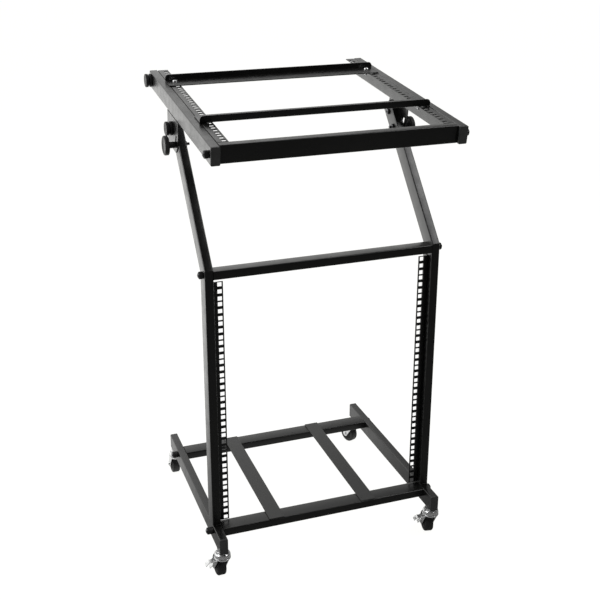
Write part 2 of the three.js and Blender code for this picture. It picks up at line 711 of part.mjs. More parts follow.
// Bracket plate in the plane of Y and Z, seen from the pivot at the origin
function tiltBracket(side) {
  const top = PIVOT_DROP - TUBE_DEPTH - FIT;
  const down = -half(Math.PI) - ARM_LEAN;
  const footTurn = Math.asin(PLATE_FOOT_DROP / PLATE_REACH);
  const outline = new THREE.Shape();
  outline.moveTo(PLATE_BACK, top);
  outline.lineTo(-PLATE_REACH, top);
  for (let step = 0; step <= ARC_STEPS; step += 1) {
    const angle = footTurn * (step / ARC_STEPS) - Math.PI;
    outline.lineTo(PLATE_REACH * Math.cos(angle), PLATE_REACH * Math.sin(angle));
  }
  const corner = [PLATE_BACK - PLATE_FOOT_CORNER, PLATE_FOOT_CORNER - PLATE_FOOT_DROP];
  outline.absarc(...corner, PLATE_FOOT_CORNER, -half(Math.PI), 0, false);
  outline.closePath();
  outline.holes.push(arcSlot(down - TILT_MAX, down - TILT_MIN));
  const pivot = new THREE.Path();
  pivot.absarc(0, 0, holeRadius(BOLT_RADIUS), 0, FULL_TURN, true);
  outline.holes.push(pivot);
  const plate = extruded(outline, PLATE_THICK, BOLT_SIDES);
  const upright = plate.rotateX(half(Math.PI)).rotateZ(half(Math.PI)).translate(frameHalf + FIT, 0, 0);
  return piece(`${sideName(side)}_tilt_bracket`, mirrored(solid(upright), side), blackPaint());
}

// Slot bent round the pivot, as wide as SLOT_WIDTH, between two angles of the lock bolt
function arcSlot(start, end) {
  const path = new THREE.Path();
  const reach = half(SLOT_WIDTH);
  const along = share => start + (end - start) * share;
  const at = (radius, angle) => [radius * Math.cos(angle), radius * Math.sin(angle)];
  path.moveTo(...at(LOCK_RADIUS - reach, start));
  for (let step = 1; step <= ARC_STEPS; step += 1) {
    path.lineTo(...at(LOCK_RADIUS - reach, along(step / ARC_STEPS)));
  }
  path.absarc(...at(LOCK_RADIUS, end), reach, end + Math.PI, end, true);
  for (let step = ARC_STEPS; step >= 0; step -= 1) {
    path.lineTo(...at(LOCK_RADIUS + reach, along(step / ARC_STEPS)));
  }
  path.absarc(...at(LOCK_RADIUS, start), reach, start, start + Math.PI, true);
  path.closePath();
  return path;
}

// Hand screw near the rear end of the left side tube
function rearKnob() {
  const screw = [[0, -rearKnobReach], [BOLT_RADIUS, -rearKnobReach], [BOLT_RADIUS, 0]];
  const shape = lathe([...screw, ...knobRows()], KNOB_SIDES);
  const place = [LEFT * (tableHalf + FIT), rearKnobY, tubeMiddle];
  return piece('left_rear_knob', solid(alongX(shape, LEFT)), blackPlastic(), place);
}

// Casters

function casterY(front) {
  return front ? CASTER_INSET - BASE_AHEAD : baseRear - CASTER_INSET;
}

// Threaded stem with the flange under the rail and the pin that the housing turns on
function casterStem({ name, side, front }) {
  const flangeTop = CASTER_HEIGHT - FIT;
  const flangeBottom = flangeTop - STEM_FLANGE;
  const top = stemNutZ + STEM_NUT + STEM_TAIL;
  const headTop = domeBottom - FIT;
  const profile = [
    [0, headTop - STEM_HEAD],
    [STEM_HEAD_RADIUS, headTop - STEM_HEAD],
    [STEM_HEAD_RADIUS, headTop],
    [STEM_PIN_RADIUS, headTop],
    [STEM_PIN_RADIUS, flangeBottom],
    [STEM_FLANGE_RADIUS, flangeBottom],
    [STEM_FLANGE_RADIUS, flangeTop],
    [STEM_RADIUS, flangeTop],
    [STEM_RADIUS, top],
    [0, top],
  ];
  const body = solid(alongZ(lathe(profile, DOME_SIDES)));
  return piece(`${name}_caster_stem`, body, zinc(), [side * railX, casterY(front), 0]);
}

// Domed swivel housing with two legs down to the axle, and ears for the lever on a braked one
function fork(brake) {
  const bore = STEM_PIN_RADIUS + FIT;
  const dome = solid(alongZ(turned([
    [bore, domeBottom],
    [DOME_RADIUS, domeBottom],
    [DOME_RADIUS, domeTop - half(DOME_HEIGHT)],
    [DOME_RADIUS - half(DOME_SHOULDER), domeTop - DOME_SHOULDER],
    [DOME_CROWN, domeTop],
    [bore, domeTop],
  ], DOME_SIDES)));
  const outline = new THREE.Shape();
  outline.moveTo(-LEG_TOP_HALF, domeBottom + LEG_SEAT);
  outline.absarc(CASTER_TRAIL, axleHeight, LEG_END_RADIUS, -Math.PI + LEG_WRAP, LEG_WRAP, false);
  outline.lineTo(LEG_TOP_HALF, domeBottom + LEG_SEAT);
  outline.closePath();
  const plate = extruded(outline, LEG_THICK, BOLT_SIDES);
  const upright = plate.rotateX(half(Math.PI)).rotateZ(half(Math.PI)).translate(LEG_GAP, 0, 0);
  const leg = solid(upright);
  const legs = SIDES.map(side => mirrored(leg, side));
  const reach = LEG_GAP + LEG_THICK + OVERRUN;
  const hole = barX(holeRadius(AXLE_RADIUS), [-reach, reach], CASTER_TRAIL, axleHeight);
  const whole = cut(joined([dome, ...legs]), [hole]);
  return brake ? whole.add(leverEars()) : whole;
}

function leverEars() {
  const inner = half(LEVER_WIDTH) + FIT;
  const across = [-LEVER_OUT - EAR_PAST_PIN, -LEG_GAP - half(LEG_THICK)];
  const tall = [LEVER_HEIGHT - EAR_HALF, LEVER_HEIGHT + EAR_HALF];
  const ears = SIDES.map(side => {
    const near = LEVER_BACK + side * inner;
    const far = near + side * EAR_THICK;
    return block(across, [Math.min(near, far), Math.max(near, far)], tall);
  });
  const span = [LEVER_BACK - inner - half(EAR_THICK), LEVER_BACK + inner + half(EAR_THICK)];
  return joined([...ears, barY(LEVER_PIN_RADIUS, -LEVER_OUT, span, LEVER_HEIGHT)]);
}

// Rocker lever round its pin: an upper tread that reaches out and a shorter tail below it
function brakeLever() {
  const thick = LEVER_THICK;
  const tread = new THREE.Shape();
  tread.moveTo(0, half(LEVER_HUB_RADIUS) + thick);
  tread.lineTo(-LEVER_TREAD_BEND, half(LEVER_HUB_RADIUS) + thick);
  tread.lineTo(-LEVER_TREAD_OUT, thick - LEVER_TREAD_DROP);
  tread.lineTo(-LEVER_TREAD_OUT, -LEVER_TREAD_DROP);
  tread.lineTo(-LEVER_TREAD_BEND, half(LEVER_HUB_RADIUS));
  tread.lineTo(0, half(LEVER_HUB_RADIUS));
  tread.closePath();
  const tail = new THREE.Shape();
  tail.moveTo(-half(LEVER_HUB_RADIUS), 0);
  tail.lineTo(-LEVER_TAIL_OUT - thick, -LEVER_TAIL_DROP);
  tail.lineTo(-LEVER_TAIL_OUT, -LEVER_TAIL_DROP - half(thick));
  tail.lineTo(0, -half(LEVER_HUB_RADIUS));
  tail.closePath();
  const span = [-half(LEVER_WIDTH), half(LEVER_WIDTH)];
  const sheet = outline => {
    const flat = extruded(outline, LEVER_WIDTH).rotateX(half(Math.PI));
    return solid(flat.translate(0, half(LEVER_WIDTH), 0));
  };
  const hub = barY(LEVER_HUB_RADIUS, 0, span, 0);
  const body = joined([hub, sheet(tread), sheet(tail)]);
  const [near, far] = span;
  return cut(body, [barY(holeRadius(LEVER_PIN_RADIUS), 0, [near - OVERRUN, far + OVERRUN], 0)]);
}

// A flat of the faceted tread is turned to the floor
function wheel() {
  const profile = [
    [AXLE_RADIUS + FIT, -HUB_HALF],
    [HUB_RADIUS, -HUB_HALF],
    [HUB_RADIUS, -WHEEL_HALF],
    [WHEEL_RADIUS - TREAD_EDGE, -WHEEL_HALF],
    [WHEEL_RADIUS, TREAD_EDGE - WHEEL_HALF],
    [WHEEL_RADIUS, WHEEL_HALF - TREAD_EDGE],
    [WHEEL_RADIUS - TREAD_EDGE, WHEEL_HALF],
    [HUB_RADIUS, WHEEL_HALF],
    [HUB_RADIUS, HUB_HALF],
    [AXLE_RADIUS + FIT, HUB_HALF],
  ];
  return solid(alongX(turned(profile, WHEEL_SIDES, Math.PI / WHEEL_SIDES)));
}

function axle() {
  const end = LEG_GAP + LEG_THICK + FIT;
  const profile = [
    [0, -end - AXLE_HEAD],
    [AXLE_HEAD_RADIUS, -end - AXLE_HEAD],
    [AXLE_HEAD_RADIUS, -end],
    [AXLE_RADIUS, -end],
    [AXLE_RADIUS, end],
    [AXLE_HEAD_RADIUS, end],
    [AXLE_HEAD_RADIUS, end + AXLE_HEAD],
    [0, end + AXLE_HEAD],
  ];
  return solid(alongX(lathe(profile, BOLT_SIDES)));
}

function caster({ name, side, front, yaw, brake }) {
  const group = new THREE.Group();
  group.position.set(side * railX, casterY(front), 0);
  group.rotation.z = yaw;
  group.add(piece(`${name}_fork`, fork(brake), zinc()));
  group.add(piece(`${name}_wheel`, wheel(), blackRubber(), [0, CASTER_TRAIL, axleHeight]));
  group.add(piece(`${name}_axle`, axle(), zinc(), [0, CASTER_TRAIL, axleHeight]));
  if (brake) {
    group.add(piece(`${name}_brake_lever`, brakeLever(), zinc(), [-LEVER_OUT, LEVER_BACK, LEVER_HEIGHT]));
  }
  return group;
}

// The whole stand

function frameGroup() {
  const group = new THREE.Group();
  SIDES.forEach(side => {
    group.add(baseRail(side), post(side), arm(side), armEndCap(side), lowerRail(side));
    group.add(pivotBolt(side), pivotKnob(side), lockBolt(side), lockKnob(side));
  });
  group.add(baseBeam('base_front_beam', frontBeamY, SHORT_COLLAR_LENGTH));
  group.add(baseBeam('base_rear_beam', rearBeamY, FLAT_COLLAR_LENGTH), upperBeam());
  group.add(strap(LEFT, LEFT_STRAP_X), strap(RIGHT, RIGHT_STRAP_X));
  group.add(...endCaps('base', railX, -BASE_AHEAD, baseRear, CASTER_HEIGHT + half(TUBE_DEPTH)));
  group.add(...CASTERS.map(casterStem), ...CASTERS.map(caster));
  return group;
}

function tableGroup() {
  const group = new THREE.Group();
  group.position.set(0, pivotY, pivotZ);
  group.rotation.x = TABLE_TILT;
  SIDES.forEach(side => group.add(tableTube(side), tableRail(side), tiltBracket(side)));
  group.add(tableFrontTube(), rearKnob());
  const tubeX = tableHalf - half(TUBE_WIDTH);
  group.add(...endCaps('table', tubeX, tableY(0), tableY(TABLE_LENGTH), tubeMiddle));
  group.add(angleBar('middle_angle_bar', middleBarBack, FACING_BACK));
  group.add(angleBar('rear_angle_bar', rearBarBack, FACING_FRONT));
  return group;
}

const stand = new THREE.Group();
stand.add(frameGroup(), tableGroup());
stand.updateMatrixWorld(true);
const middle = new THREE.Box3().setFromObject(stand, true).getCenter(new THREE.Vector3());
stand.position.set(0, -middle.y, 0);

export default stand;
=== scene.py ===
"""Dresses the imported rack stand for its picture: steel tubes, rack rails, table, knobs and casters.

Everything is in metres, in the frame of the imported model: X to the right, Y to the back, Z up.
"""

import json
import math

import bmesh
import bpy
from mathutils import Matrix, Vector


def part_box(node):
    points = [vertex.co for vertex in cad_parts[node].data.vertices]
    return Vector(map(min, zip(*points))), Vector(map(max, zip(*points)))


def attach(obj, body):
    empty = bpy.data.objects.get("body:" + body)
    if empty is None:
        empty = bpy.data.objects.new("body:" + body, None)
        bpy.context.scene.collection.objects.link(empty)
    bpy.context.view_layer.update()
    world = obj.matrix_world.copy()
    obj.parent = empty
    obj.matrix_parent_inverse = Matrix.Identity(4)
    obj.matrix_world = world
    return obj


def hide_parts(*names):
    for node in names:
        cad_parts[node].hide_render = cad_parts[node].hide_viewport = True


bl_info = {
    "name": "Studio rack stand",
    "version": (1, 0, 0),
    "blender": (4, 5, 0),
    "location": "View3D > Sidebar > Rack stand",
    "description": "Builds the tubes, rails, table, knobs and casters of a rolling rack stand",
    "category": "Object",
}

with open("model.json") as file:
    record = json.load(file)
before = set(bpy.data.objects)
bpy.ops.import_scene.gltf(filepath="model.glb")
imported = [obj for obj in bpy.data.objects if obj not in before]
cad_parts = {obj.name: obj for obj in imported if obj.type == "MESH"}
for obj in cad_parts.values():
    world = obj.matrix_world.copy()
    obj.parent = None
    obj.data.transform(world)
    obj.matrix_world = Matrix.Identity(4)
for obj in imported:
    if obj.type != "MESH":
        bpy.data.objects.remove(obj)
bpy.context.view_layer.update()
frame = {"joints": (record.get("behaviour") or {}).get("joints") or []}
JOINTS = {joint["name"]: joint for joint in frame["joints"]}

LEFT, RIGHT = -1, 1
SIDES = (LEFT, RIGHT)
SIDE_NAME = {LEFT: "left", RIGHT: "right"}
QUARTER = math.radians(90)
TURN = math.radians(360)

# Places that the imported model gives
PIVOT = Vector(JOINTS["table_tilt"]["pos_m"])
TABLE_TILT = -math.radians(JOINTS["table_tilt"]["range_deg"][0])
TABLE = Matrix.Translation(PIVOT) @ Matrix.Rotation(TABLE_TILT, 4, "X")
FRAME_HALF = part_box("right_post")[1].x
TABLE_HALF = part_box("table_right_tube")[1].x
BASE_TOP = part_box("base_front_beam")[1].z
RACK_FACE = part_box("left_rack_rail")[0].y
RACK_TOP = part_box("left_rack_rail")[1].z
RACK_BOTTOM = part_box("left_rack_rail")[0].z
POST_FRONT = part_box("left_post")[0].y

# Arms: the mitred elbow on the posts' front edge, how far the arms lean back, how far the
# lock bolt lies from the pivot, and the sweep of its slot
ELBOW_RISE = 0.0304
ELBOW = Vector((0, POST_FRONT, RACK_TOP + ELBOW_RISE))
ARM_LEAN = math.radians(40.6)
ARM_LENGTH = 0.3655
LOCK_RADIUS = 0.041
TILT_SLOT = math.radians(50)

# Clearance between pieces, and the moulded caps in the tubes' ends
FIT = 0.0003
CAP_THICK = 0.0040
ARM_CAP_THICK = 0.0022
CAP_RIM = 0.0012
CAP_RIM_SHARE = 0.45
PLUG_LENGTH = 0.006
PLUG_CORNER = 0.001
PLUG_SINK = 0.0001

# Table places, seen from the pivot
TABLE_FRONT = -0.3224
TABLE_TOP = 0.0685
TABLE_LENGTH = 0.546
FRONT_TUBE_BACK = 0.008
TABLE_RACK_BACK = 0.0288
TABLE_HOLES = 34
TABLE_RAIL_END = TABLE_LENGTH - CAP_THICK

# Rack hole pattern: three holes to a unit, and a shorter step from unit to unit
HOLE_PITCH = 0.015875
UNIT_STEP = 0.0127
HOLES_PER_UNIT = 3
RACK_UNIT = (HOLES_PER_UNIT - 1) * HOLE_PITCH + UNIT_STEP
FIRST_HOLE = UNIT_STEP / 2
RACK_UNITS = 13
HOLE_INSET = 0.01595

# Angle bars: the rail holes that their screws sit in, their reach and round corners
MIDDLE_BAR_HOLE = 8
REAR_BAR_HOLE = 27
BAR_PAST_RAIL = 0.0035
BAR_SCREW_INSET = 0.015
BAR_TOP_CORNER = 0.008
BAR_LIP_CORNER = 0.004

# Tilt brackets, seen from the pivot
PLATE_BACK = 0.041
PLATE_REACH = 0.057
PLATE_FOOT_DROP = 0.044
PLATE_FOOT_CORNER = 0.030
SLOT_HALF = 0.0045
PIVOT_HOLE = 0.0044

# Straps and welds
STRAP_CORNER = 0.0015
WELD_PROUD = 0.0005
WELD_HEIGHT = 0.0024
WELD_SHEET = 0.0008
WELD_SHARE = 0.1
FOOT_WELD_RISE = 0.0012
SEAM = (0.003, 0.016, 0.0016)
SEAM_CORNER = 0.0007
SEAM_PROUD = 0.0005
SEAM_SHARES = (0.03, 0.35, 0.65, 0.97)

# Collared bolts; each pair is the length of the left and of the right collar
COLLAR_RADIUS = 0.0080
COLLAR_BORE = 0.0042
COLLAR_FOOT = 0.0007
COLLAR_MOUTH = 0.0058
COLLAR_SEAT = 0.0056
COLLAR_EDGE = 0.0012
COLLAR_EDGE_SHARE = 0.2
COLLAR_SINK = 0.001
LIKE_COLLARS = (0.009, 0.009)
FRONT_BEAM_COLLARS = (0.014, 0.005)
REAR_BEAM_COLLARS = (0.014, 0.0015)

# Button heads, as radius, height, socket radius and socket depth
COLLAR_HEAD = (0.0054, 0.0034, 0.0024, 0.002)
BAR_HEAD = (0.0058, 0.0036, 0.0024, 0.002)
ARM_HEAD = (0.007, 0.005, 0.003, 0.0028)
HEAD_ROWS = ((1, 0.35), (0.92, 0.7), (0.72, 0.95), (0.6, 1))

# Screws, as radius, length and pitch, and nuts, as width, height and bore
BAR_SCREW = (0.00295, 0.0145, 0.001)
ARM_SCREW = (0.0039, 0.0315, 0.0016)
REAR_SCREW = (0.0039, 0.0098, 0.0012)
BAR_NUT = (0.0102, 0.005, 0.003)
REAR_NUT = (0.0121, 0.006, 0.0043)
THREAD_ROOT = 0.86
THREAD_TIP = 0.7
RIDGE_START, RIDGE_TOP, RIDGE_END = 0.1, 0.5, 0.9
ARM_HEAD_TURN = math.radians(11)
LOCK_TIP = ((0, 0.0030), (0.0030, 0.0030), (0.0030, 0.0100), (0.0025, 0.0104), (0, 0.0104))

# Drum knobs, from the seat outwards; groove and step as inset from the radius and height
KNOB_BORE = 0.0043
KNOB_FOOT_EDGE = 0.0012
KNOB_FOOT_INSET = 0.0018
KNOB_GROOVE = ((0.0002, 0.0042), (0.0028, 0.0056), (0.0028, 0.0066), (0.0002, 0.0080))
KNOB_EDGE = 0.0014
KNOB_EDGE_AT = 0.0129
KNOB_STEP = ((0.0028, 0.0144), (0.0032, 0.0140))
KNOB_END = 0.0139
KNOB_BORE_END = 0.002

# Lock knobs, from the seat outwards; hub as radius and height, step as inset and height
LOCK_HUB = ((0, 0.012), (0.0043, 0.012), (0.0043, 0), (0.0066, 0), (0.007, 0.0005),
            (0.007, 0.0138), (0.0078, 0.0150), (0.0095, 0.0155))
LOCK_BACK_EDGE = 0.0018
LOCK_BACK_AT = 0.0173
LOCK_FACE_EDGE = 0.0028
LOCK_FACE_AT = 0.0227
LOCK_STEP = ((0.0045, 0.0254), (0.0052, 0.0249))
LOCK_END = 0.0247

# Casters: profiles as radius and height over the floor
STEM_PROFILE = (
    (0, 0.0576), (0.0074, 0.0576), (0.008, 0.0582), (0.008, 0.0590), (0.0074, 0.0594),
    (0.005, 0.0595), (0.005, 0.0750), (0.0130, 0.0752), (0.0140, 0.0758), (0.0140, 0.0772),
    (0.0132, 0.0777), (0.004, 0.0777), (0.004, 0.0866), (0, 0.0872))
DOME_PROFILE = (
    (0.0053, 0.0600), (0.0165, 0.0600), (0.0178, 0.0597), (0.0186, 0.0597), (0.0190, 0.0604),
    (0.0190, 0.0622), (0.0184, 0.0630), (0.0160, 0.0632), (0.0160, 0.0652), (0.0184, 0.0654),
    (0.0188, 0.0662), (0.0186, 0.0684), (0.0180, 0.0706), (0.0166, 0.0724), (0.0152, 0.0734),
    (0.0146, 0.0733), (0.0142, 0.0722), (0.0122, 0.0722), (0.0119, 0.0746), (0.0104, 0.0749),
    (0.0053, 0.0749), (0.0053, 0.0600))
LEG_TOP = 0.0622
LEG_TOP_HALF = 0.011
LEG_END = 0.008
LEG_WRAP = math.radians(12)
LEG_SHOULDER = (0.0165, 0.050)
LEG_INSIDE = 0.013
LEG_THICK = 0.002
AXLE_HOLE = 0.0032
AXLE_PROFILE = ((0, -0.0153), (0.003, -0.0153), (0.003, 0.0153), (0, 0.0153))
RIVET_SEAT = 0.0153
RIVET_PROFILE = ((0, 0), (0.0049, 0), (0.005, 0.0008), (0.0044, 0.0018), (0.0030, 0.0024),
                 (0, 0.0025))

# Wheels: tread and hub
TREAD_HALF = 0.0100
TREAD_EDGE = 0.0042
TREAD_SEAT = 0.0170
TREAD_SHOULDER = 0.0190
TREAD_SINK = 0.0006
HUB_PROFILE = ((0.0033, -0.0124), (0.0064, -0.0125), (0.0070, -0.0119), (0.0072, -0.0082),
               (0.0088, -0.0068), (0.0145, -0.0064), (0.0160, -0.0082), (0.0170, -0.0096))

# Brake levers, seen from their pin
LEVER_OUT = 0.0195
LEVER_BACK = 0.009
LEVER_HEIGHT = 0.046
LEVER_WIDTH = 0.012
LEVER_SHEET = 0.0014
LEVER_BEND = 0.0021
LEVER_POINTS = ((-0.0185, -0.0050), (-0.0112, 0.0030), (0.0022, 0.0030), (0.0022, -0.0022),
                (-0.0088, -0.0124))
LEVER_PIN = ((0, 0), (0.002, 0), (0.002, 0.0150), (0, 0.0150))
LEVER_PIN_START = 0.0015
EAR = (0.0082, 0.008, 0.0015)
EAR_CORNER = 0.0025
EAR_OUT = 0.0180
EAR_APART = 0.0063

# Fineness of the meshes: steps of a full turn, and of an arc
FINEST_TURN = 64
FINE_TURN = 56
PLAIN_TURN = 40
HEAD_TURN = 36
SMALL_TURN = 28
SCREW_TURN = 24
PIN_TURN = 20
HEX = 6
FOOT_STEPS = 5
KNOB_STEPS = 6
TREAD_STEPS = 7
LOCK_STEPS = 8
SLOT_END_STEPS = 12
SLOT_STEPS = 20
LEG_STEPS = 20
PLATE_CORNER_STEPS = 24
PLATE_FRONT_STEPS = 30
UPRIGHT = 0.9
MERGE = 1e-7
SPIN_MERGE = 1e-6
NEAR = 1e-5
CORNER_SEGMENTS = 6
BEND_SEGMENTS = 5
RIM_SEGMENTS = 4
EDGE_SEGMENTS = 2
BEND_SHARE = 0.9
SMOOTH_LIMIT = math.radians(35)
EDGE_LIMIT = math.radians(40)
SHEET_EDGE = 0.0004
FORK_EDGE = 0.0003
STRAP_EDGE = 0.0005

# Studio: what the camera sees, and what glossy steel reflects
FLOOR_SIZE = 30
WARM_WHITE = (1, 1, 0.985, 1)
FLOOR_GLOW_SHARE = 0.86
FLOOR_GLOW_SEEN = 1.12
FLOOR_GLOW_FROM = (-0.4, 1.1)
FLOOR_GLOW = (0.01, 1.95)
WORLD_BRIGHT_SIDE = (-0.42, 0.85, -0.30)
WORLD_GLOW_FROM = (0.14, 0.62)
WORLD_GLOW = (0.03, 1.22)
WORLD_SOFT = 0.42
LAMP_AIM = Vector((0, 0, 0.6))
LAMPS = (
    # name, place, side, power
    ("key", (-2.6, 0.2, 2.7), 1.8, 48),
    ("top", (0.3, 1.6, 3.2), 2.2, 12),
    ("fill", (1.45, -0.8, 2.6), 1.1, 17),
)

# Camera
SENSOR = 36
FAR = 100
CAMERA_PLACE = (-0.71281, -1.94766, 1.39762)
CAMERA_AZIMUTH = math.radians(-17.03)
CAMERA_ELEVATION = math.radians(19.13)
CAMERA_ROLL = math.radians(-0.98)
CAMERA_LENS = 56.87
CAMERA_SHIFT = (0.0861, -0.0798)


class RackStandSizes(bpy.types.PropertyGroup):
    """Sizes of the tubes, sheets, knobs and wheels"""
    tube_width: bpy.props.FloatProperty(
        name="Tube width", description="Narrow side of the box tube",
        default=0.019, min=0.01, unit="LENGTH", subtype="DISTANCE")
    tube_depth: bpy.props.FloatProperty(
        name="Tube depth", description="Wide side of the box tube",
        default=0.038, min=0.01, unit="LENGTH", subtype="DISTANCE")
    tube_wall: bpy.props.FloatProperty(
        name="Tube wall", description="Wall of the box tube",
        default=0.0015, min=0.0005, unit="LENGTH", subtype="DISTANCE")
    tube_corner: bpy.props.FloatProperty(
        name="Tube corner", description="Outside radius of the box tube's corners",
        default=0.0025, min=0.0005, unit="LENGTH", subtype="DISTANCE")
    beam_depth: bpy.props.FloatProperty(
        name="Upper beam depth", description="Depth of the beam between the posts",
        default=0.030, min=0.01, unit="LENGTH", subtype="DISTANCE")
    sheet: bpy.props.FloatProperty(
        name="Sheet", description="Thickness of rails, bars, straps and brackets",
        default=0.002, min=0.0005, unit="LENGTH", subtype="DISTANCE")
    rail_flange: bpy.props.FloatProperty(
        name="Rail flange", description="Width of the face with the square holes",
        default=0.0235, min=0.01, unit="LENGTH", subtype="DISTANCE")
    rail_leg: bpy.props.FloatProperty(
        name="Rail leg", description="Depth of the leg welded to the tube",
        default=0.020, min=0.005, unit="LENGTH", subtype="DISTANCE")
    rack_hole: bpy.props.FloatProperty(
        name="Rack hole", description="Side of a square rack hole",
        default=0.0095, min=0.004, unit="LENGTH", subtype="DISTANCE")
    strap_width: bpy.props.FloatProperty(
        name="Strap width", description="Width of the straps across the base",
        default=0.036, min=0.01, unit="LENGTH", subtype="DISTANCE")
    bar_lip: bpy.props.FloatProperty(
        name="Bar lip", description="Depth of an angle bar's lip",
        default=0.046, min=0.01, unit="LENGTH", subtype="DISTANCE")
    bar_rise: bpy.props.FloatProperty(
        name="Bar rise", description="Height of an angle bar's upright",
        default=0.015, min=0.005, unit="LENGTH", subtype="DISTANCE")
    knob_radius: bpy.props.FloatProperty(
        name="Knob radius", description="Radius of the round knobs",
        default=0.0155, min=0.005, unit="LENGTH", subtype="DISTANCE")
    lock_radius: bpy.props.FloatProperty(
        name="Lock knob radius", description="Radius of the large lock knobs",
        default=0.0215, min=0.005, unit="LENGTH", subtype="DISTANCE")
    wheel_radius: bpy.props.FloatProperty(
        name="Wheel radius", description="Radius of the caster wheels",
        default=0.024692, min=0.01, unit="LENGTH", subtype="DISTANCE")


class RackStandColours(bpy.types.PropertyGroup):
    """Colours of the finishes and of the floor"""
    paint: bpy.props.FloatVectorProperty(
        name="Paint", description="Satin powder coat on the steel",
        default=(0.0036, 0.0036, 0.0034), size=3, min=0, max=1, subtype="COLOR")
    plastic: bpy.props.FloatVectorProperty(
        name="Knob plastic", description="Moulded knobs and collars",
        default=(0.017, 0.017, 0.017), size=3, min=0, max=1, subtype="COLOR")
    cap: bpy.props.FloatVectorProperty(
        name="Cap plastic", description="End caps of the tubes",
        default=(0.026, 0.027, 0.027), size=3, min=0, max=1, subtype="COLOR")
    zinc: bpy.props.FloatVectorProperty(
        name="Zinc", description="Plated casters and screws",
        default=(0.88, 0.89, 0.90), size=3, min=0, max=1, subtype="COLOR")
    dark_zinc: bpy.props.FloatVectorProperty(
        name="Dark zinc", description="Heads of the bolts in the frame",
        default=(0.11, 0.11, 0.115), size=3, min=0, max=1, subtype="COLOR")
    rubber: bpy.props.FloatVectorProperty(
        name="Rubber", description="Tread of the wheels",
        default=(0.012, 0.012, 0.012), size=3, min=0, max=1, subtype="COLOR")
    floor: bpy.props.FloatVectorProperty(
        name="Floor", description="Studio floor and backdrop",
        default=(0.86, 0.86, 0.85), size=3, min=0, max=1, subtype="COLOR")


def sizes():
    """The sizes set in the panel."""
    return bpy.context.scene.rack_stand_sizes


def colours():
    """The colours set in the panel."""
    return bpy.context.scene.rack_stand_colours


# Finishes

def noise(tree, scale, detail=3.0, stretch=(1, 1, 1)):
    """Noise on the piece's own place, in features of about 1 / scale metres."""
    where = tree.nodes.new("ShaderNodeTexCoord")
    mapping = tree.nodes.new("ShaderNodeMapping")
    mapping.inputs["Scale"].default_value = stretch
    texture = tree.nodes.new("ShaderNodeTexNoise")
    texture.inputs["Scale"].default_value = scale
    texture.inputs["Detail"].default_value = detail
    tree.links.new(where.outputs["Object"], mapping.inputs["Vector"])
    tree.links.new(mapping.outputs["Vector"], texture.inputs["Vector"])
    return texture.outputs["Fac"]


def spread(tree, value, low, high, lowest=0.3, highest=0.7):
    """The middle of a noise, spread over a range."""
    node = tree.nodes.new("ShaderNodeMapRange")
    node.inputs["From Min"].default_value = lowest
    node.inputs["From Max"].default_value = highest
    node.inputs["To Min"].default_value = low
    node.inputs["To Max"].default_value = high
    tree.links.new(value, node.inputs["Value"])
    return node.outputs["Result"]


def shades(tree, value, dark, light):
    """A colour between two shades of one colour."""
    node = tree.nodes.new("ShaderNodeMix")
    node.data_type = "RGBA"
    node.inputs["A"].default_value = (*dark, 1)
    node.inputs["B"].default_value = (*light, 1)
    tree.links.new(value, node.inputs["Factor"])
    return node.outputs["Result"]


def bumps(tree, value, distance, strength=0.25):
    """Fine relief of a surface."""
    node = tree.nodes.new("ShaderNodeBump")
    node.inputs["Strength"].default_value = strength
    node.inputs["Distance"].default_value = distance
    tree.links.new(value, node.inputs["Height"])
    return node.outputs["Normal"]


def surface(name, colour, vary, patch, rough, rough_patch, grain, depth,
            stretch=(1, 1, 1), metallic=0.0, specular=0.5):
    """A finish whose colour, gloss and relief all vary over the surface."""
    material = bpy.data.materials.new(name)
    material.use_nodes = True
    tree = material.node_tree
    shader = tree.nodes["Principled BSDF"]
    dark = [c * (1 - vary) for c in colour]
    light = [min(1, c * (1 + vary)) for c in colour]
    tint = spread(tree, noise(tree, patch, detail=4, stretch=stretch), low=0, high=1)
    gloss = spread(tree, noise(tree, rough_patch, detail=5, stretch=stretch), *rough)
    fine = bumps(tree, noise(tree, grain, detail=2), depth)
    tree.links.new(shades(tree, tint, dark, light), shader.inputs["Base Color"])
    tree.links.new(gloss, shader.inputs["Roughness"])
    tree.links.new(fine, shader.inputs["Normal"])
    shader.inputs["Metallic"].default_value = metallic
    shader.inputs["Specular IOR Level"].default_value = specular
    return material


def powder_coat():
    """Satin black powder coat on tubes and sheet."""
    return surface("satin_black_powder_coat", colours().paint, vary=0.25, patch=14,
                   rough=(0.27, 0.37), rough_patch=45, grain=1100, depth=0.00012,
                   specular=0.62)


def knob_plastic():
    """Matt black plastic of knobs, collars and hubs."""
    return surface("moulded_black_plastic", colours().plastic, vary=0.2, patch=60,
                   rough=(0.40, 0.55), rough_patch=110, grain=1500, depth=0.0001,
                   specular=0.22)


def cap_plastic():
    """Dark grey plastic of the tubes' end caps."""
    return surface("dark_grey_cap_plastic", colours().cap, vary=0.12, patch=70,
                   rough=(0.45, 0.6), rough_patch=120, grain=1700, depth=0.00012)


def zinc_plate():
    """Bright zinc on casters, nuts and the bars' screws."""
    return surface("bright_zinc_plate", colours().zinc, vary=0.35, patch=260,
                   rough=(0.10, 0.26), rough_patch=140, grain=210, depth=0.0011,
                   stretch=(1, 1, 2.2), metallic=0.8)


def dark_steel():
    """Darkened zinc on the frame's bolt heads."""
    return surface("dark_zinc_plate", colours().dark_zinc, vary=0.3, patch=120,
                   rough=(0.22, 0.40), rough_patch=140, grain=600, depth=0.00005,
                   metallic=1.0)


def tread_rubber():
    """Dull black rubber of the wheels."""
    return surface("wheel_tread_rubber", colours().rubber, vary=0.3, patch=80,
                   rough=(0.42, 0.62), rough_patch=200, grain=900, depth=0.0002)


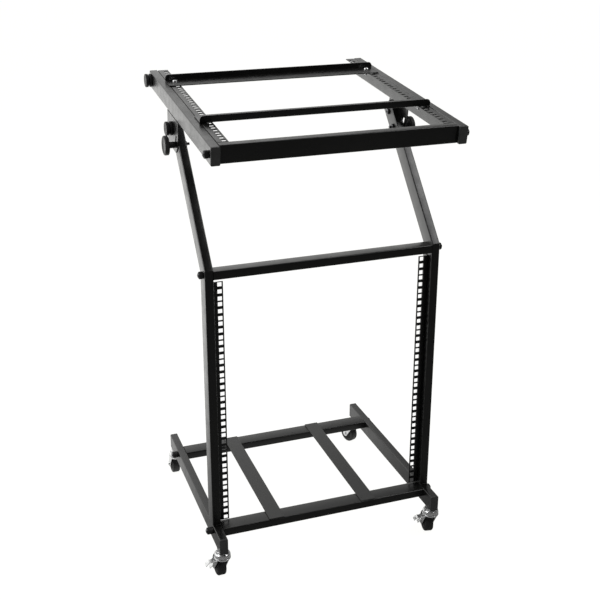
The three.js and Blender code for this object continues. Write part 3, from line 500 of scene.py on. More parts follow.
FINISHES = {
    "black_paint": powder_coat,
    "black_plastic": knob_plastic,
    "grey_plastic": cap_plastic,
    "zinc_steel": zinc_plate,
    "dark_steel": dark_steel,
    "wheel_rubber": tread_rubber,
}
made = {}


def finish(name):
    """The material of one finish, made once."""
    if name not in made:
        made[name] = FINISHES[name]()
    return made[name]


# Shapes

def extent(bm):
    """Sum of the sides of a mesh's box."""
    corners = [[v.co[axis] for v in bm.verts] for axis in range(3)]
    return sum(max(row) - min(row) for row in corners)


def thicken(bm, amount):
    """Gives an open sheet its thickness, on the side where its box doesn't grow."""
    bmesh.ops.remove_doubles(bm, verts=bm.verts, dist=MERGE)
    bmesh.ops.recalc_face_normals(bm, faces=bm.faces)
    trial = bm.copy()
    bmesh.ops.solidify(trial, geom=trial.faces[:], thickness=amount)
    grown = extent(trial) > extent(bm) + amount / 2
    trial.free()
    bmesh.ops.solidify(bm, geom=bm.faces[:], thickness=-amount if grown else amount)
    return bm


def move(bm, matrix):
    """Puts a mesh in its place."""
    bmesh.ops.transform(bm, matrix=matrix, verts=bm.verts)
    return bm


def combine(parts):
    """Several meshes as one."""
    whole = bmesh.new()
    for part in parts:
        mesh = bpy.data.meshes.new("part")
        part.to_mesh(mesh)
        part.free()
        whole.from_mesh(mesh)
        bpy.data.meshes.remove(mesh)
    return whole


def tube_shell(wide, deep, length, corner):
    """Outside of a box tube along +Z from the origin, open at both ends."""
    bm = bmesh.new()
    bmesh.ops.create_cube(bm, size=1)
    bmesh.ops.scale(bm, vec=(wide, deep, length), verts=bm.verts)
    bmesh.ops.translate(bm, vec=(0, 0, length / 2), verts=bm.verts)
    ends = [f for f in bm.faces if abs(f.normal.z) > UPRIGHT]
    bmesh.ops.delete(bm, geom=ends, context="FACES_ONLY")
    sides = [e for e in bm.edges if len(e.link_faces) == 2]
    bmesh.ops.bevel(bm, geom=sides, offset=corner, segments=CORNER_SEGMENTS, profile=0.5,
                    affect="EDGES", material=-1)
    return bm


def box_tube(wide, deep, length, cuts=()):
    """Box tube along +Z from the origin; each cut keeps the side against its normal."""
    bm = tube_shell(wide, deep, length, sizes().tube_corner)
    for point, normal in cuts:
        whole = bm.verts[:] + bm.edges[:] + bm.faces[:]
        bmesh.ops.bisect_plane(bm, geom=whole, plane_co=point, plane_no=normal,
                               clear_outer=True)
    return thicken(bm, sizes().tube_wall)


def rounded_block(wide, deep, tall, corner, edge=0.0):
    """Block on the origin, up along +Z, with round upright corners and a round top edge."""
    bm = bmesh.new()
    bmesh.ops.create_cube(bm, size=1)
    bmesh.ops.scale(bm, vec=(wide, deep, tall), verts=bm.verts)
    bmesh.ops.translate(bm, vec=(0, 0, tall / 2), verts=bm.verts)
    uprights = [e for e in bm.edges if abs(e.verts[0].co.z - e.verts[1].co.z) > tall / 2]
    bmesh.ops.bevel(bm, geom=uprights, offset=corner, segments=CORNER_SEGMENTS, profile=0.5,
                    affect="EDGES", material=-1)
    if edge:
        rim = [e for e in bm.edges if all(v.co.z > tall - NEAR for v in e.verts)]
        bmesh.ops.bevel(bm, geom=rim, offset=edge, segments=RIM_SEGMENTS, profile=0.5,
                        affect="EDGES", material=-1)
    return bm


def turned(profile, steps):
    """Rows of [radius, height] turned round +Z."""
    bm = bmesh.new()
    verts = [bm.verts.new((radius, 0, height)) for radius, height in profile]
    edges = [bm.edges.new(pair) for pair in zip(verts, verts[1:])]
    bmesh.ops.spin(bm, geom=verts + edges, cent=(0, 0, 0), axis=(0, 0, 1), angle=TURN,
                   steps=steps, use_merge=True)
    bmesh.ops.remove_doubles(bm, verts=bm.verts, dist=SPIN_MERGE)
    bmesh.ops.recalc_face_normals(bm, faces=bm.faces)
    return bm


def arc(centre, radius, start, end, steps):
    """Points on an arc, both ends counted."""
    x, y = centre
    angles = [start + (end - start) * step / steps for step in range(steps + 1)]
    return [(x + radius * math.cos(a), y + radius * math.sin(a)) for a in angles]


def plate(outline, holes, thick):
    """Flat plate from closed rows of points in the XY plane, from 0 up to its thickness."""
    bm = bmesh.new()
    for loop in (outline, *holes):
        verts = [bm.verts.new((x, y, 0)) for x, y in loop]
        for pair in zip(verts, verts[1:] + verts[:1]):
            bm.edges.new(pair)
    bmesh.ops.triangle_fill(bm, use_beauty=True, use_dissolve=False, edges=bm.edges[:])
    bmesh.ops.recalc_face_normals(bm, faces=bm.faces)
    bmesh.ops.solidify(bm, geom=bm.faces[:], thickness=thick)
    lowest = min(v.co.z for v in bm.verts)
    bmesh.ops.translate(bm, vec=(0, 0, -lowest), verts=bm.verts)
    return bm


def folded_sheet(points, length, bend):
    """Sheet through rows of [x, z], pulled along +Y, with round bends and no thickness yet."""
    bm = bmesh.new()
    verts = [bm.verts.new((x, 0, z)) for x, z in points]
    edges = [bm.edges.new(pair) for pair in zip(verts, verts[1:])]
    pulled = bmesh.ops.extrude_edge_only(bm, edges=edges)["geom"]
    ends = [v for v in pulled if isinstance(v, bmesh.types.BMVert)]
    bmesh.ops.translate(bm, vec=(0, length, 0), verts=ends)
    bends = [e for e in bm.edges if len(e.link_faces) == 2]
    bmesh.ops.bevel(bm, geom=bends, offset=bend, segments=BEND_SEGMENTS, profile=0.5,
                    affect="EDGES", material=-1)
    return bm


def round_corners(bm, corners, radius):
    """Rounds the corners of an open sheet that lie at the given points."""
    picked = [v for v in bm.verts if any((v.co - Vector(c)).length < NEAR for c in corners)]
    bmesh.ops.bevel(bm, geom=picked, offset=radius, segments=CORNER_SEGMENTS, profile=0.5,
                    affect="VERTICES", material=-1)


def ring(bm, radius, height, segments):
    """Circle of edges round +Z at a height, as its vertices."""
    verts = bmesh.ops.create_circle(bm, cap_ends=False, radius=radius, segments=segments)["verts"]
    bmesh.ops.translate(bm, vec=(0, 0, height), verts=verts)
    return verts


def socket_head(radius, height, socket, depth):
    """Button head on the origin, up along +Z, with a hexagon socket."""
    bm = bmesh.new()
    rows = [ring(bm, radius, 0, HEAD_TURN)]
    for share, rise in HEAD_ROWS:
        rows.append(ring(bm, radius * share, height * rise, HEAD_TURN))
    for z in (height, height - depth):
        rows.append(ring(bm, socket, z, HEX))
    for low, high in zip(rows, rows[1:]):
        edges = [e for e in bm.edges
                 if all(v in low for v in e.verts) or all(v in high for v in e.verts)]
        bmesh.ops.bridge_loops(bm, edges=edges)
    bmesh.ops.contextual_create(bm, geom=rows[0])
    bmesh.ops.contextual_create(bm, geom=rows[-1])
    bmesh.ops.recalc_face_normals(bm, faces=bm.faces)
    return bm


def hex_nut(across, height, bore):
    """Hexagon nut on the origin, up along +Z, with its bore."""
    corner = across / math.sqrt(3)
    six = arc((0, 0), corner, 0, TURN, HEX)[:-1]
    hole = arc((0, 0), bore, 0, TURN, SCREW_TURN)[:-1]
    return plate(six, [hole], height)


def screw(radius, length, pitch):
    """Threaded shank from the origin down -Z, as rings of small ridges."""
    turns = int(length / pitch)
    step = length / turns
    root = radius * THREAD_ROOT
    rows = [(0, 0), (root, 0)]
    for turn in range(turns):
        z = -turn * step
        rows += [(root, z - step * RIDGE_START), (radius, z - step * RIDGE_TOP),
                 (root, z - step * RIDGE_END)]
    rows += [(radius * THREAD_TIP, -length), (0, -length)]
    return turned(rows, SCREW_TURN)


# Pieces

def piece(name, bm, look, body, nodes=(), place=None, bevel=0.0):
    """Makes a finished piece: in place in its mesh, smooth where it is round, riding its body."""
    if place is not None:
        move(bm, place)
    bmesh.ops.remove_doubles(bm, verts=bm.verts, dist=MERGE)
    bmesh.ops.recalc_face_normals(bm, faces=bm.faces)
    for face in bm.faces:
        face.smooth = True
    for edge in bm.edges:
        if len(edge.link_faces) == 2 and edge.calc_face_angle(0) > SMOOTH_LIMIT:
            edge.smooth = False
    mesh = bpy.data.meshes.new(name)
    bm.to_mesh(mesh)
    bm.free()
    mesh.materials.append(finish(look))
    thing = bpy.data.objects.new(name, mesh)
    bpy.context.scene.collection.objects.link(thing)
    if bevel:
        rounding = thing.modifiers.new("edges", "BEVEL")
        rounding.width = bevel
        rounding.segments = EDGE_SEGMENTS
        rounding.limit_method = "ANGLE"
        rounding.angle_limit = EDGE_LIMIT
        rounding.harden_normals = True
    if nodes:
        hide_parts(*nodes)
    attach(thing, body)
    return thing


def at(x, y, z):
    """Moves to a place."""
    return Matrix.Translation((x, y, z))


def outwards(side):
    """Turns +Z to the outside of the stand."""
    return Matrix.Rotation(side * QUARTER, 4, "Y")


TO_BACK = Matrix.Rotation(-QUARTER, 4, "X")
TO_FRONT = Matrix.Rotation(QUARTER, 4, "X")
ALONG_X = Matrix.Rotation(QUARTER, 4, "Y")
FLAT_TO_SIDE = Matrix(((0, 0, 1, 0), (1, 0, 0, 0), (0, 1, 0, 0), (0, 0, 0, 1)))


def end_cap(wide, deep, thick):
    """Moulded cap: a flange with a soft rim, and the start of its plug."""
    s = sizes()
    rim = min(CAP_RIM, thick * CAP_RIM_SHARE)
    flange = rounded_block(wide, deep, thick, s.tube_corner, rim)
    less = 2 * (s.tube_wall + FIT)
    plug = rounded_block(wide - less, deep - less, PLUG_LENGTH, PLUG_CORNER)
    bmesh.ops.translate(plug, vec=(0, 0, PLUG_SINK - PLUG_LENGTH), verts=plug.verts)
    return combine([flange, plug])


def collar_bolt(name, body, seats, lengths):
    """Black collars against the tubes, each with the button head of its bolt in its end."""
    collars, heads = [], []
    for seat, length in zip(seats, lengths):
        edge = min(COLLAR_EDGE, length * COLLAR_EDGE_SHARE)
        floor = length - COLLAR_SINK
        rows = [(COLLAR_BORE, 0), (COLLAR_RADIUS - COLLAR_FOOT, 0), (COLLAR_RADIUS, edge)]
        rows += arc((COLLAR_RADIUS - edge, length - edge), edge, 0, QUARTER, FOOT_STEPS)
        rows += [(COLLAR_MOUTH, length), (COLLAR_SEAT, floor), (COLLAR_BORE, floor),
                 (COLLAR_BORE, 0)]
        collars.append(move(turned(rows, PLAIN_TURN), seat))
        heads.append(move(socket_head(*COLLAR_HEAD), seat @ at(0, 0, floor)))
    piece(f"{name}_collars", combine(collars), "black_plastic", body)
    piece(f"{name}_bolt_heads", combine(heads), "dark_steel", body)


def cross_tube(name, node, body, tall, deep, half, middle, collars=LIKE_COLLARS):
    """Tube across the stand between two side tubes, with its collared bolts outside."""
    s = sizes()
    bm = box_tube(tall, deep, 2 * half)
    place = middle @ at(-half, 0, 0) @ ALONG_X
    piece(f"{name}_tube", bm, "black_paint", body, [node], place)
    seats = [middle @ at(side * (half + s.tube_width + FIT), 0, 0) @ outwards(side)
             for side in SIDES]
    collar_bolt(name, body, seats, collars)


class RACKSTAND_OT_base(bpy.types.Operator):
    """Base rails with their end caps, the two base beams and the straps across them"""
    bl_idname = "rackstand.base"
    bl_label = "Base"

    def execute(self, context):
        s = sizes()
        inner = FRAME_HALF - s.tube_width
        cap = CAP_THICK + FIT
        for side in SIDES:
            word = SIDE_NAME[side]
            low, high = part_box(f"{word}_base_rail")
            x = side * (FRAME_HALF - s.tube_width / 2)
            z = BASE_TOP - s.tube_depth / 2
            bm = box_tube(s.tube_width, s.tube_depth, high.y - low.y)
            piece(f"{word}_base_tube", bm, "black_paint", "stand", [f"{word}_base_rail"],
                  at(x, low.y, z) @ TO_BACK)
            for end, turn, y in (("front", TO_FRONT, low.y), ("rear", TO_BACK, high.y)):
                piece(f"base_{end}_{word}_end", end_cap(s.tube_width, s.tube_depth, cap),
                      "grey_plastic", "stand", [f"base_{end}_{word}_cap"], at(x, y, z) @ turn)
        for word, collars in (("front", FRONT_BEAM_COLLARS), ("rear", REAR_BEAM_COLLARS)):
            low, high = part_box(f"base_{word}_beam")
            middle = at(0, (low.y + high.y) / 2, (low.z + high.z) / 2)
            cross_tube(f"base_{word}", f"base_{word}_beam", "stand", s.tube_width,
                       s.tube_depth, inner, middle, collars)
        for side in SIDES:
            self.strap(side)
        return {"FINISHED"}

    def strap(self, side):
        """Flat bar across the beams."""
        s = sizes()
        word = SIDE_NAME[side]
        low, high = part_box(f"{word}_strap")
        x = (low.x + high.x) / 2
        bm = rounded_block(s.strap_width, high.y - low.y, s.sheet, STRAP_CORNER)
        piece(f"{word}_strap_plate", bm, "black_paint", "stand", [f"{word}_strap"],
              at(x, (low.y + high.y) / 2, BASE_TOP + FIT), bevel=STRAP_EDGE)


class RACKSTAND_OT_uprights(bpy.types.Operator):
    """Posts and arms with their mitred, welded elbows, the upper beam and the arms' end caps"""
    bl_idname = "rackstand.uprights"
    bl_label = "Posts and arms"

    def execute(self, context):
        s = sizes()
        mitre = ARM_LEAN / 2
        upwards = Vector((0, math.sin(mitre), math.cos(mitre)))
        downwards = Vector((0, math.sin(mitre), -math.cos(mitre)))
        height = ELBOW.z - BASE_TOP
        half = s.tube_depth / 2
        for side in SIDES:
            word = SIDE_NAME[side]
            x = side * (FRAME_HALF - s.tube_width / 2)
            cut = (Vector((0, -half, height)), upwards)
            post = box_tube(s.tube_width, s.tube_depth, height, [cut])
            piece(f"{word}_post_tube", post, "black_paint", "stand", [f"{word}_post"],
                  at(x, POST_FRONT + half, BASE_TOP))
            lean = at(x, ELBOW.y, ELBOW.z) @ Matrix.Rotation(-ARM_LEAN, 4, "X") @ at(0, half, 0)
            cut = (Vector((0, -half, 0)), downwards)
            arm = box_tube(s.tube_width, s.tube_depth, ARM_LENGTH, [cut])
            piece(f"{word}_arm_tube", arm, "black_paint", "stand", [f"{word}_arm"], lean)
            piece(f"{word}_elbow_weld", self.weld(mitre), "black_paint", "stand",
                  place=at(x, ELBOW.y, ELBOW.z))
            piece(f"{word}_foot_weld", self.weld(0), "black_paint", "stand",
                  place=at(x, POST_FRONT, BASE_TOP + FOOT_WELD_RISE))
            piece(f"{word}_arm_end", end_cap(s.tube_width, s.tube_depth, ARM_CAP_THICK),
                  "black_plastic", "stand", [f"{word}_arm_cap"], lean @ at(0, 0, ARM_LENGTH))
        low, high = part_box("upper_beam")
        middle = at(0, (low.y + high.y) / 2, (low.z + high.z) / 2)
        cross_tube("upper", "upper_beam", "stand", s.tube_width, s.beam_depth,
                   FRAME_HALF - s.tube_width, middle)
        return {"FINISHED"}

    def weld(self, mitre):
        """Low bead round a post, level or along the mitre."""
        s = sizes()
        wide = s.tube_width + 2 * WELD_PROUD
        deep = s.tube_depth + 2 * WELD_PROUD
        bm = tube_shell(wide, deep, WELD_HEIGHT, s.tube_corner)
        uprights = [e for e in bm.edges
                    if abs(e.verts[0].co.z - e.verts[1].co.z) > WELD_HEIGHT / 2]
        bmesh.ops.subdivide_edges(bm, edges=uprights, cuts=2, use_grid_fill=True)
        low, high = WELD_HEIGHT * WELD_SHARE, WELD_HEIGHT * (1 - WELD_SHARE)
        ends = [v for v in bm.verts if not low < v.co.z < high]
        narrower = ((s.tube_width - WELD_PROUD) / wide, (s.tube_depth - WELD_PROUD) / deep, 1)
        bmesh.ops.scale(bm, vec=narrower, verts=ends)
        bmesh.ops.translate(bm, vec=(0, s.tube_depth / 2, -WELD_HEIGHT / 2), verts=bm.verts)
        shear = Matrix.Identity(4)
        shear[2][1] = -math.tan(mitre)
        return thicken(move(bm, shear), WELD_SHEET)


def rack_angle(length, backs):
    """Rack rail along +Y: its face up at z = 0 with the square holes, its leg down at x = 0."""
    s = sizes()
    points = [(-s.rail_flange, 0), (-FIT, 0), (-FIT, -s.rail_leg)]
    bm = folded_sheet(points, length, s.sheet * BEND_SHARE)
    reach = s.rack_hole / 2
    cuts = [(Vector((-HOLE_INSET + sign * reach, 0, 0)), Vector((1, 0, 0))) for sign in SIDES]
    cuts += [(Vector((0, back + sign * reach, 0)), Vector((0, 1, 0)))
             for back in backs for sign in SIDES]
    for point, normal in cuts:
        whole = bm.verts[:] + bm.edges[:] + bm.faces[:]
        bmesh.ops.bisect_plane(bm, geom=whole, plane_co=point, plane_no=normal)
    holes = []
    for face in bm.faces:
        c = face.calc_center_median()
        inside = any(abs(c.y - back) < reach for back in backs)
        if inside and abs(c.x + HOLE_INSET) < reach and abs(c.z) < NEAR:
            holes.append(face)
    bmesh.ops.delete(bm, geom=holes, context="FACES")
    return thicken(bm, s.sheet)


def rack_hole(index):
    """How far a rack hole's middle lies along its rail's pattern."""
    unit, step = divmod(index, HOLES_PER_UNIT)
    return unit * RACK_UNIT + FIRST_HOLE + step * HOLE_PITCH


def flip(side):
    """Mirrors a right-hand piece for the left side."""
    return Matrix.Diagonal((side, 1, 1, 1))


class RACKSTAND_OT_rack_rails(bpy.types.Operator):
    """Upright rack rails with their square holes, and their weld seams on the posts"""
    bl_idname = "rackstand.rack_rails"
    bl_label = "Rack rails"

    def execute(self, context):
        s = sizes()
        backs = [rack_hole(i) for i in range(RACK_UNITS * HOLES_PER_UNIT)]
        inner = FRAME_HALF - s.tube_width
        for side in SIDES:
            word = SIDE_NAME[side]
            bm = rack_angle(RACK_TOP - RACK_BOTTOM, backs)
            place = at(side * inner, RACK_FACE, RACK_BOTTOM) @ flip(side) @ TO_FRONT
            piece(f"{word}_rack_angle", bm, "black_paint", "stand", [f"{word}_rack_rail"],
                  place, bevel=SHEET_EDGE)
            seams = []
            for share in SEAM_SHARES:
                seam = rounded_block(*SEAM, SEAM_CORNER, SEAM_CORNER)
                z = RACK_BOTTOM + share * (RACK_TOP - RACK_BOTTOM)
                seat = at(side * inner, RACK_FACE + s.rail_leg + SEAM_PROUD, z)
                seams.append(move(seam, seat @ TO_BACK))
            piece(f"{word}_rack_welds", combine(seams), "black_paint", "stand")
        return {"FINISHED"}


class RACKSTAND_OT_table(bpy.types.Operator):
    """Tilting table: side tubes with caps, front tube, rails, angle bars and tilt brackets"""
    bl_idname = "rackstand.table"
    bl_label = "Table"

    def execute(self, context):
        s = sizes()
        inner = TABLE_HALF - s.tube_width
        z = TABLE_TOP - s.tube_depth / 2
        cap = CAP_THICK + FIT
        for side in SIDES:
            word = SIDE_NAME[side]
            x = side * (TABLE_HALF - s.tube_width / 2)
            bm = box_tube(s.tube_width, s.tube_depth, TABLE_LENGTH - 2 * cap)
            piece(f"table_{word}_side", bm, "black_paint", "table", [f"table_{word}_tube"],
                  TABLE @ at(x, TABLE_FRONT + cap, z) @ TO_BACK)
            ends = (("front", TO_FRONT, TABLE_FRONT + cap),
                    ("rear", TO_BACK, TABLE_FRONT + TABLE_LENGTH - cap))
            for end, turn, y in ends:
                piece(f"table_{end}_{word}_end", end_cap(s.tube_width, s.tube_depth, cap),
                      "grey_plastic", "table", [f"table_{end}_{word}_cap"],
                      TABLE @ at(x, y, z) @ turn)
            self.rail(side, inner)
            self.bracket(side)
        middle = TABLE @ at(0, TABLE_FRONT + FRONT_TUBE_BACK + s.tube_width / 2, z)
        cross_tube("table_front", "table_front_tube", "table", s.tube_depth, s.tube_width,
                   inner, middle)
        self.bar("middle", "middle_angle_bar", MIDDLE_BAR_HOLE, False, inner)
        self.bar("rear", "rear_angle_bar", REAR_BAR_HOLE, True, inner)
        return {"FINISHED"}

    def rail(self, side, inner):
        """Rack rail along the inside of a side tube."""
        s = sizes()
        word = SIDE_NAME[side]
        start = FRONT_TUBE_BACK + s.tube_width + FIT
        backs = [TABLE_RACK_BACK + rack_hole(i) - start for i in range(TABLE_HOLES)]
        bm = rack_angle(TABLE_RAIL_END - start, backs)
        place = TABLE @ at(side * inner, TABLE_FRONT + start, TABLE_TOP) @ flip(side)
        piece(f"table_{word}_angle", bm, "black_paint", "table", [f"table_{word}_rail"],
              place, bevel=SHEET_EDGE)

    def bracket(self, side):
        """Plate under the side tube, round at its front and foot, with an arc slot."""
        s = sizes()
        word = SIDE_NAME[side]
        top = TABLE_TOP - s.tube_depth - FIT
        end = -QUARTER - ARM_LEAN
        start = end - TILT_SLOT
        foot = math.asin(PLATE_FOOT_DROP / PLATE_REACH) - math.pi
        outline = [(PLATE_BACK, top), (-PLATE_REACH, top)]
        outline += arc((0, 0), PLATE_REACH, -math.pi, foot, PLATE_FRONT_STEPS)
        corner = (PLATE_BACK - PLATE_FOOT_CORNER, PLATE_FOOT_CORNER - PLATE_FOOT_DROP)
        outline += arc(corner, PLATE_FOOT_CORNER, -QUARTER, 0, PLATE_CORNER_STEPS)
        near, far = arc((0, 0), LOCK_RADIUS, start, end, 1)
        slot = arc((0, 0), LOCK_RADIUS - SLOT_HALF, start, end, SLOT_STEPS)
        slot += arc(far, SLOT_HALF, end + math.pi, end + TURN, SLOT_END_STEPS)[1:-1]
        slot += arc((0, 0), LOCK_RADIUS + SLOT_HALF, end, start, SLOT_STEPS)
        slot += arc(near, SLOT_HALF, start, start + math.pi, SLOT_END_STEPS)[1:-1]
        hole = arc((0, 0), PIVOT_HOLE, 0, TURN, SMALL_TURN)[:-1]
        bm = plate(outline, [slot, hole], s.sheet)
        place = TABLE @ flip(side) @ at(FRAME_HALF + FIT, 0, 0) @ FLAT_TO_SIDE
        piece(f"{word}_bracket_plate", bm, "black_paint", "table", [f"{word}_tilt_bracket"],
              place, bevel=SHEET_EDGE)

    def bar(self, word, node, hole, facing_front, inner):
        """Angle bar across the rails with a round-cornered upright, its screws and nuts."""
        s = sizes()
        length = 2 * (inner + BAR_PAST_RAIL)
        back = TABLE_FRONT + TABLE_RACK_BACK + rack_hole(hole)
        y = back + BAR_SCREW_INSET if facing_front else back - BAR_SCREW_INSET + s.sheet
        if facing_front:
            points = [(-s.bar_lip, 0), (0, 0), (0, s.bar_rise)]
            tops = [(0, 0, s.bar_rise), (0, length, s.bar_rise)]
            lips = [(-s.bar_lip, 0, 0), (-s.bar_lip, length, 0)]
        else:
            reach = s.bar_lip - s.sheet
            points = [(reach, 0), (-s.sheet, 0), (-s.sheet, s.bar_rise)]
            tops = [(-s.sheet, 0, s.bar_rise), (-s.sheet, length, s.bar_rise)]
            lips = [(reach, 0, 0), (reach, length, 0)]
        bm = folded_sheet(points, length, s.sheet * BEND_SHARE)
        round_corners(bm, tops, BAR_TOP_CORNER)
        round_corners(bm, lips, BAR_LIP_CORNER)
        thicken(bm, s.sheet)
        across = Matrix.Rotation(QUARTER, 4, "Z")
        place = TABLE @ at(length / 2, y, TABLE_TOP + FIT) @ across
        piece(f"{word}_bar_angle", bm, "black_paint", "table", [node], place,
              bevel=SHEET_EDGE)
        parts = []
        for side in SIDES:
            seat = TABLE @ at(side * (inner - HOLE_INSET), back, TABLE_TOP + FIT + s.sheet)
            under = at(0, 0, -2 * s.sheet - 3 * FIT - BAR_NUT[1])
            parts.append(move(socket_head(*BAR_HEAD), seat))
            parts.append(move(hex_nut(*BAR_NUT), seat @ under))
            parts.append(move(screw(*BAR_SCREW), seat))
        piece(f"{word}_bar_screws", combine(parts), "zinc_steel", "table")


def drum_knob(radius):
    """Short drum with a groove around it, rounded edges and a shallow step on its end."""
    rows = [(KNOB_BORE, 0), (radius - KNOB_FOOT_INSET, 0)]
    foot = (radius - KNOB_FOOT_EDGE, KNOB_FOOT_EDGE)
    rows += arc(foot, KNOB_FOOT_EDGE, -QUARTER, 0, FOOT_STEPS)
    rows += [(radius - inset, height) for inset, height in KNOB_GROOVE]
    rows += arc((radius - KNOB_EDGE, KNOB_EDGE_AT), KNOB_EDGE, 0, QUARTER, KNOB_STEPS)
    rows += [(radius - inset, height) for inset, height in KNOB_STEP]
    bore = [(0, KNOB_BORE_END), (KNOB_BORE, KNOB_BORE_END)]
    return turned([*bore, *rows, (0, KNOB_END)], FINE_TURN)


def lock_knob(radius):
    """Large round-edged disc on a slim hub."""
    rows = list(LOCK_HUB)
    back = (radius - LOCK_BACK_EDGE, LOCK_BACK_AT)
    rows += arc(back, LOCK_BACK_EDGE, -QUARTER, 0, KNOB_STEPS)
    face = (radius - LOCK_FACE_EDGE, LOCK_FACE_AT)
    rows += arc(face, LOCK_FACE_EDGE, 0, QUARTER, LOCK_STEPS)
    rows += [(radius - inset, height) for inset, height in LOCK_STEP]
    return turned([*rows, (0, LOCK_END)], FINEST_TURN)


class RACKSTAND_OT_knobs(bpy.types.Operator):
    """Pivot knobs, lock knobs and the left rear knob, with the bolts that they clamp"""
    bl_idname = "rackstand.knobs"
    bl_label = "Knobs and bolts"

    def execute(self, context):
        s = sizes()
        inner = FRAME_HALF - s.tube_width
        for side in SIDES:
            word = SIDE_NAME[side]
            seats = {}
            for name in ("pivot", "lock"):
                y, z = JOINTS[f"{word}_{name}_knob_turn"]["pos_m"][1:]
                seats[name] = at(side * (TABLE_HALF + FIT), y, z) @ outwards(side)
                parts = [socket_head(*ARM_HEAD), screw(*ARM_SCREW)]
                if name == "lock":
                    parts.append(turned(LOCK_TIP, SMALL_TURN))
                spin = Matrix.Rotation(ARM_HEAD_TURN, 4, "Z")
                piece(f"{word}_{name}_screw", combine(parts), "dark_steel", "stand",
                      [f"{word}_{name}_bolt"],
                      at(side * (inner - FIT), y, z) @ outwards(-side) @ spin)
            piece(f"{word}_pivot_handle", drum_knob(s.knob_radius), "black_plastic",
                  f"{word}_pivot_knob", [f"{word}_pivot_knob"], seats["pivot"])
            piece(f"{word}_lock_handle", lock_knob(s.lock_radius), "black_plastic",
                  f"{word}_lock_knob", [f"{word}_lock_knob"], seats["lock"])
        y, z = JOINTS["left_rear_knob_turn"]["pos_m"][1:]
        seat = at(LEFT * (TABLE_HALF + FIT), y, z) @ outwards(LEFT)
        piece("left_rear_handle", drum_knob(s.knob_radius), "black_plastic",
              "left_rear_knob", ["left_rear_knob"], seat)
        piece("left_rear_screw", screw(*REAR_SCREW), "zinc_steel", "left_rear_knob",
              place=seat)
        inside = at(LEFT * (TABLE_HALF - s.tube_wall), y, z) @ outwards(RIGHT)
        piece("table_left_nut", hex_nut(*REAR_NUT), "zinc_steel", "table", place=inside,
              bevel=SHEET_EDGE)
        return {"FINISHED"}


# Each caster, and whether it has a brake
CASTERS = (
    ("front_left", True),
    ("front_right", True),
    ("rear_left", False),
    ("rear_right", False),
)


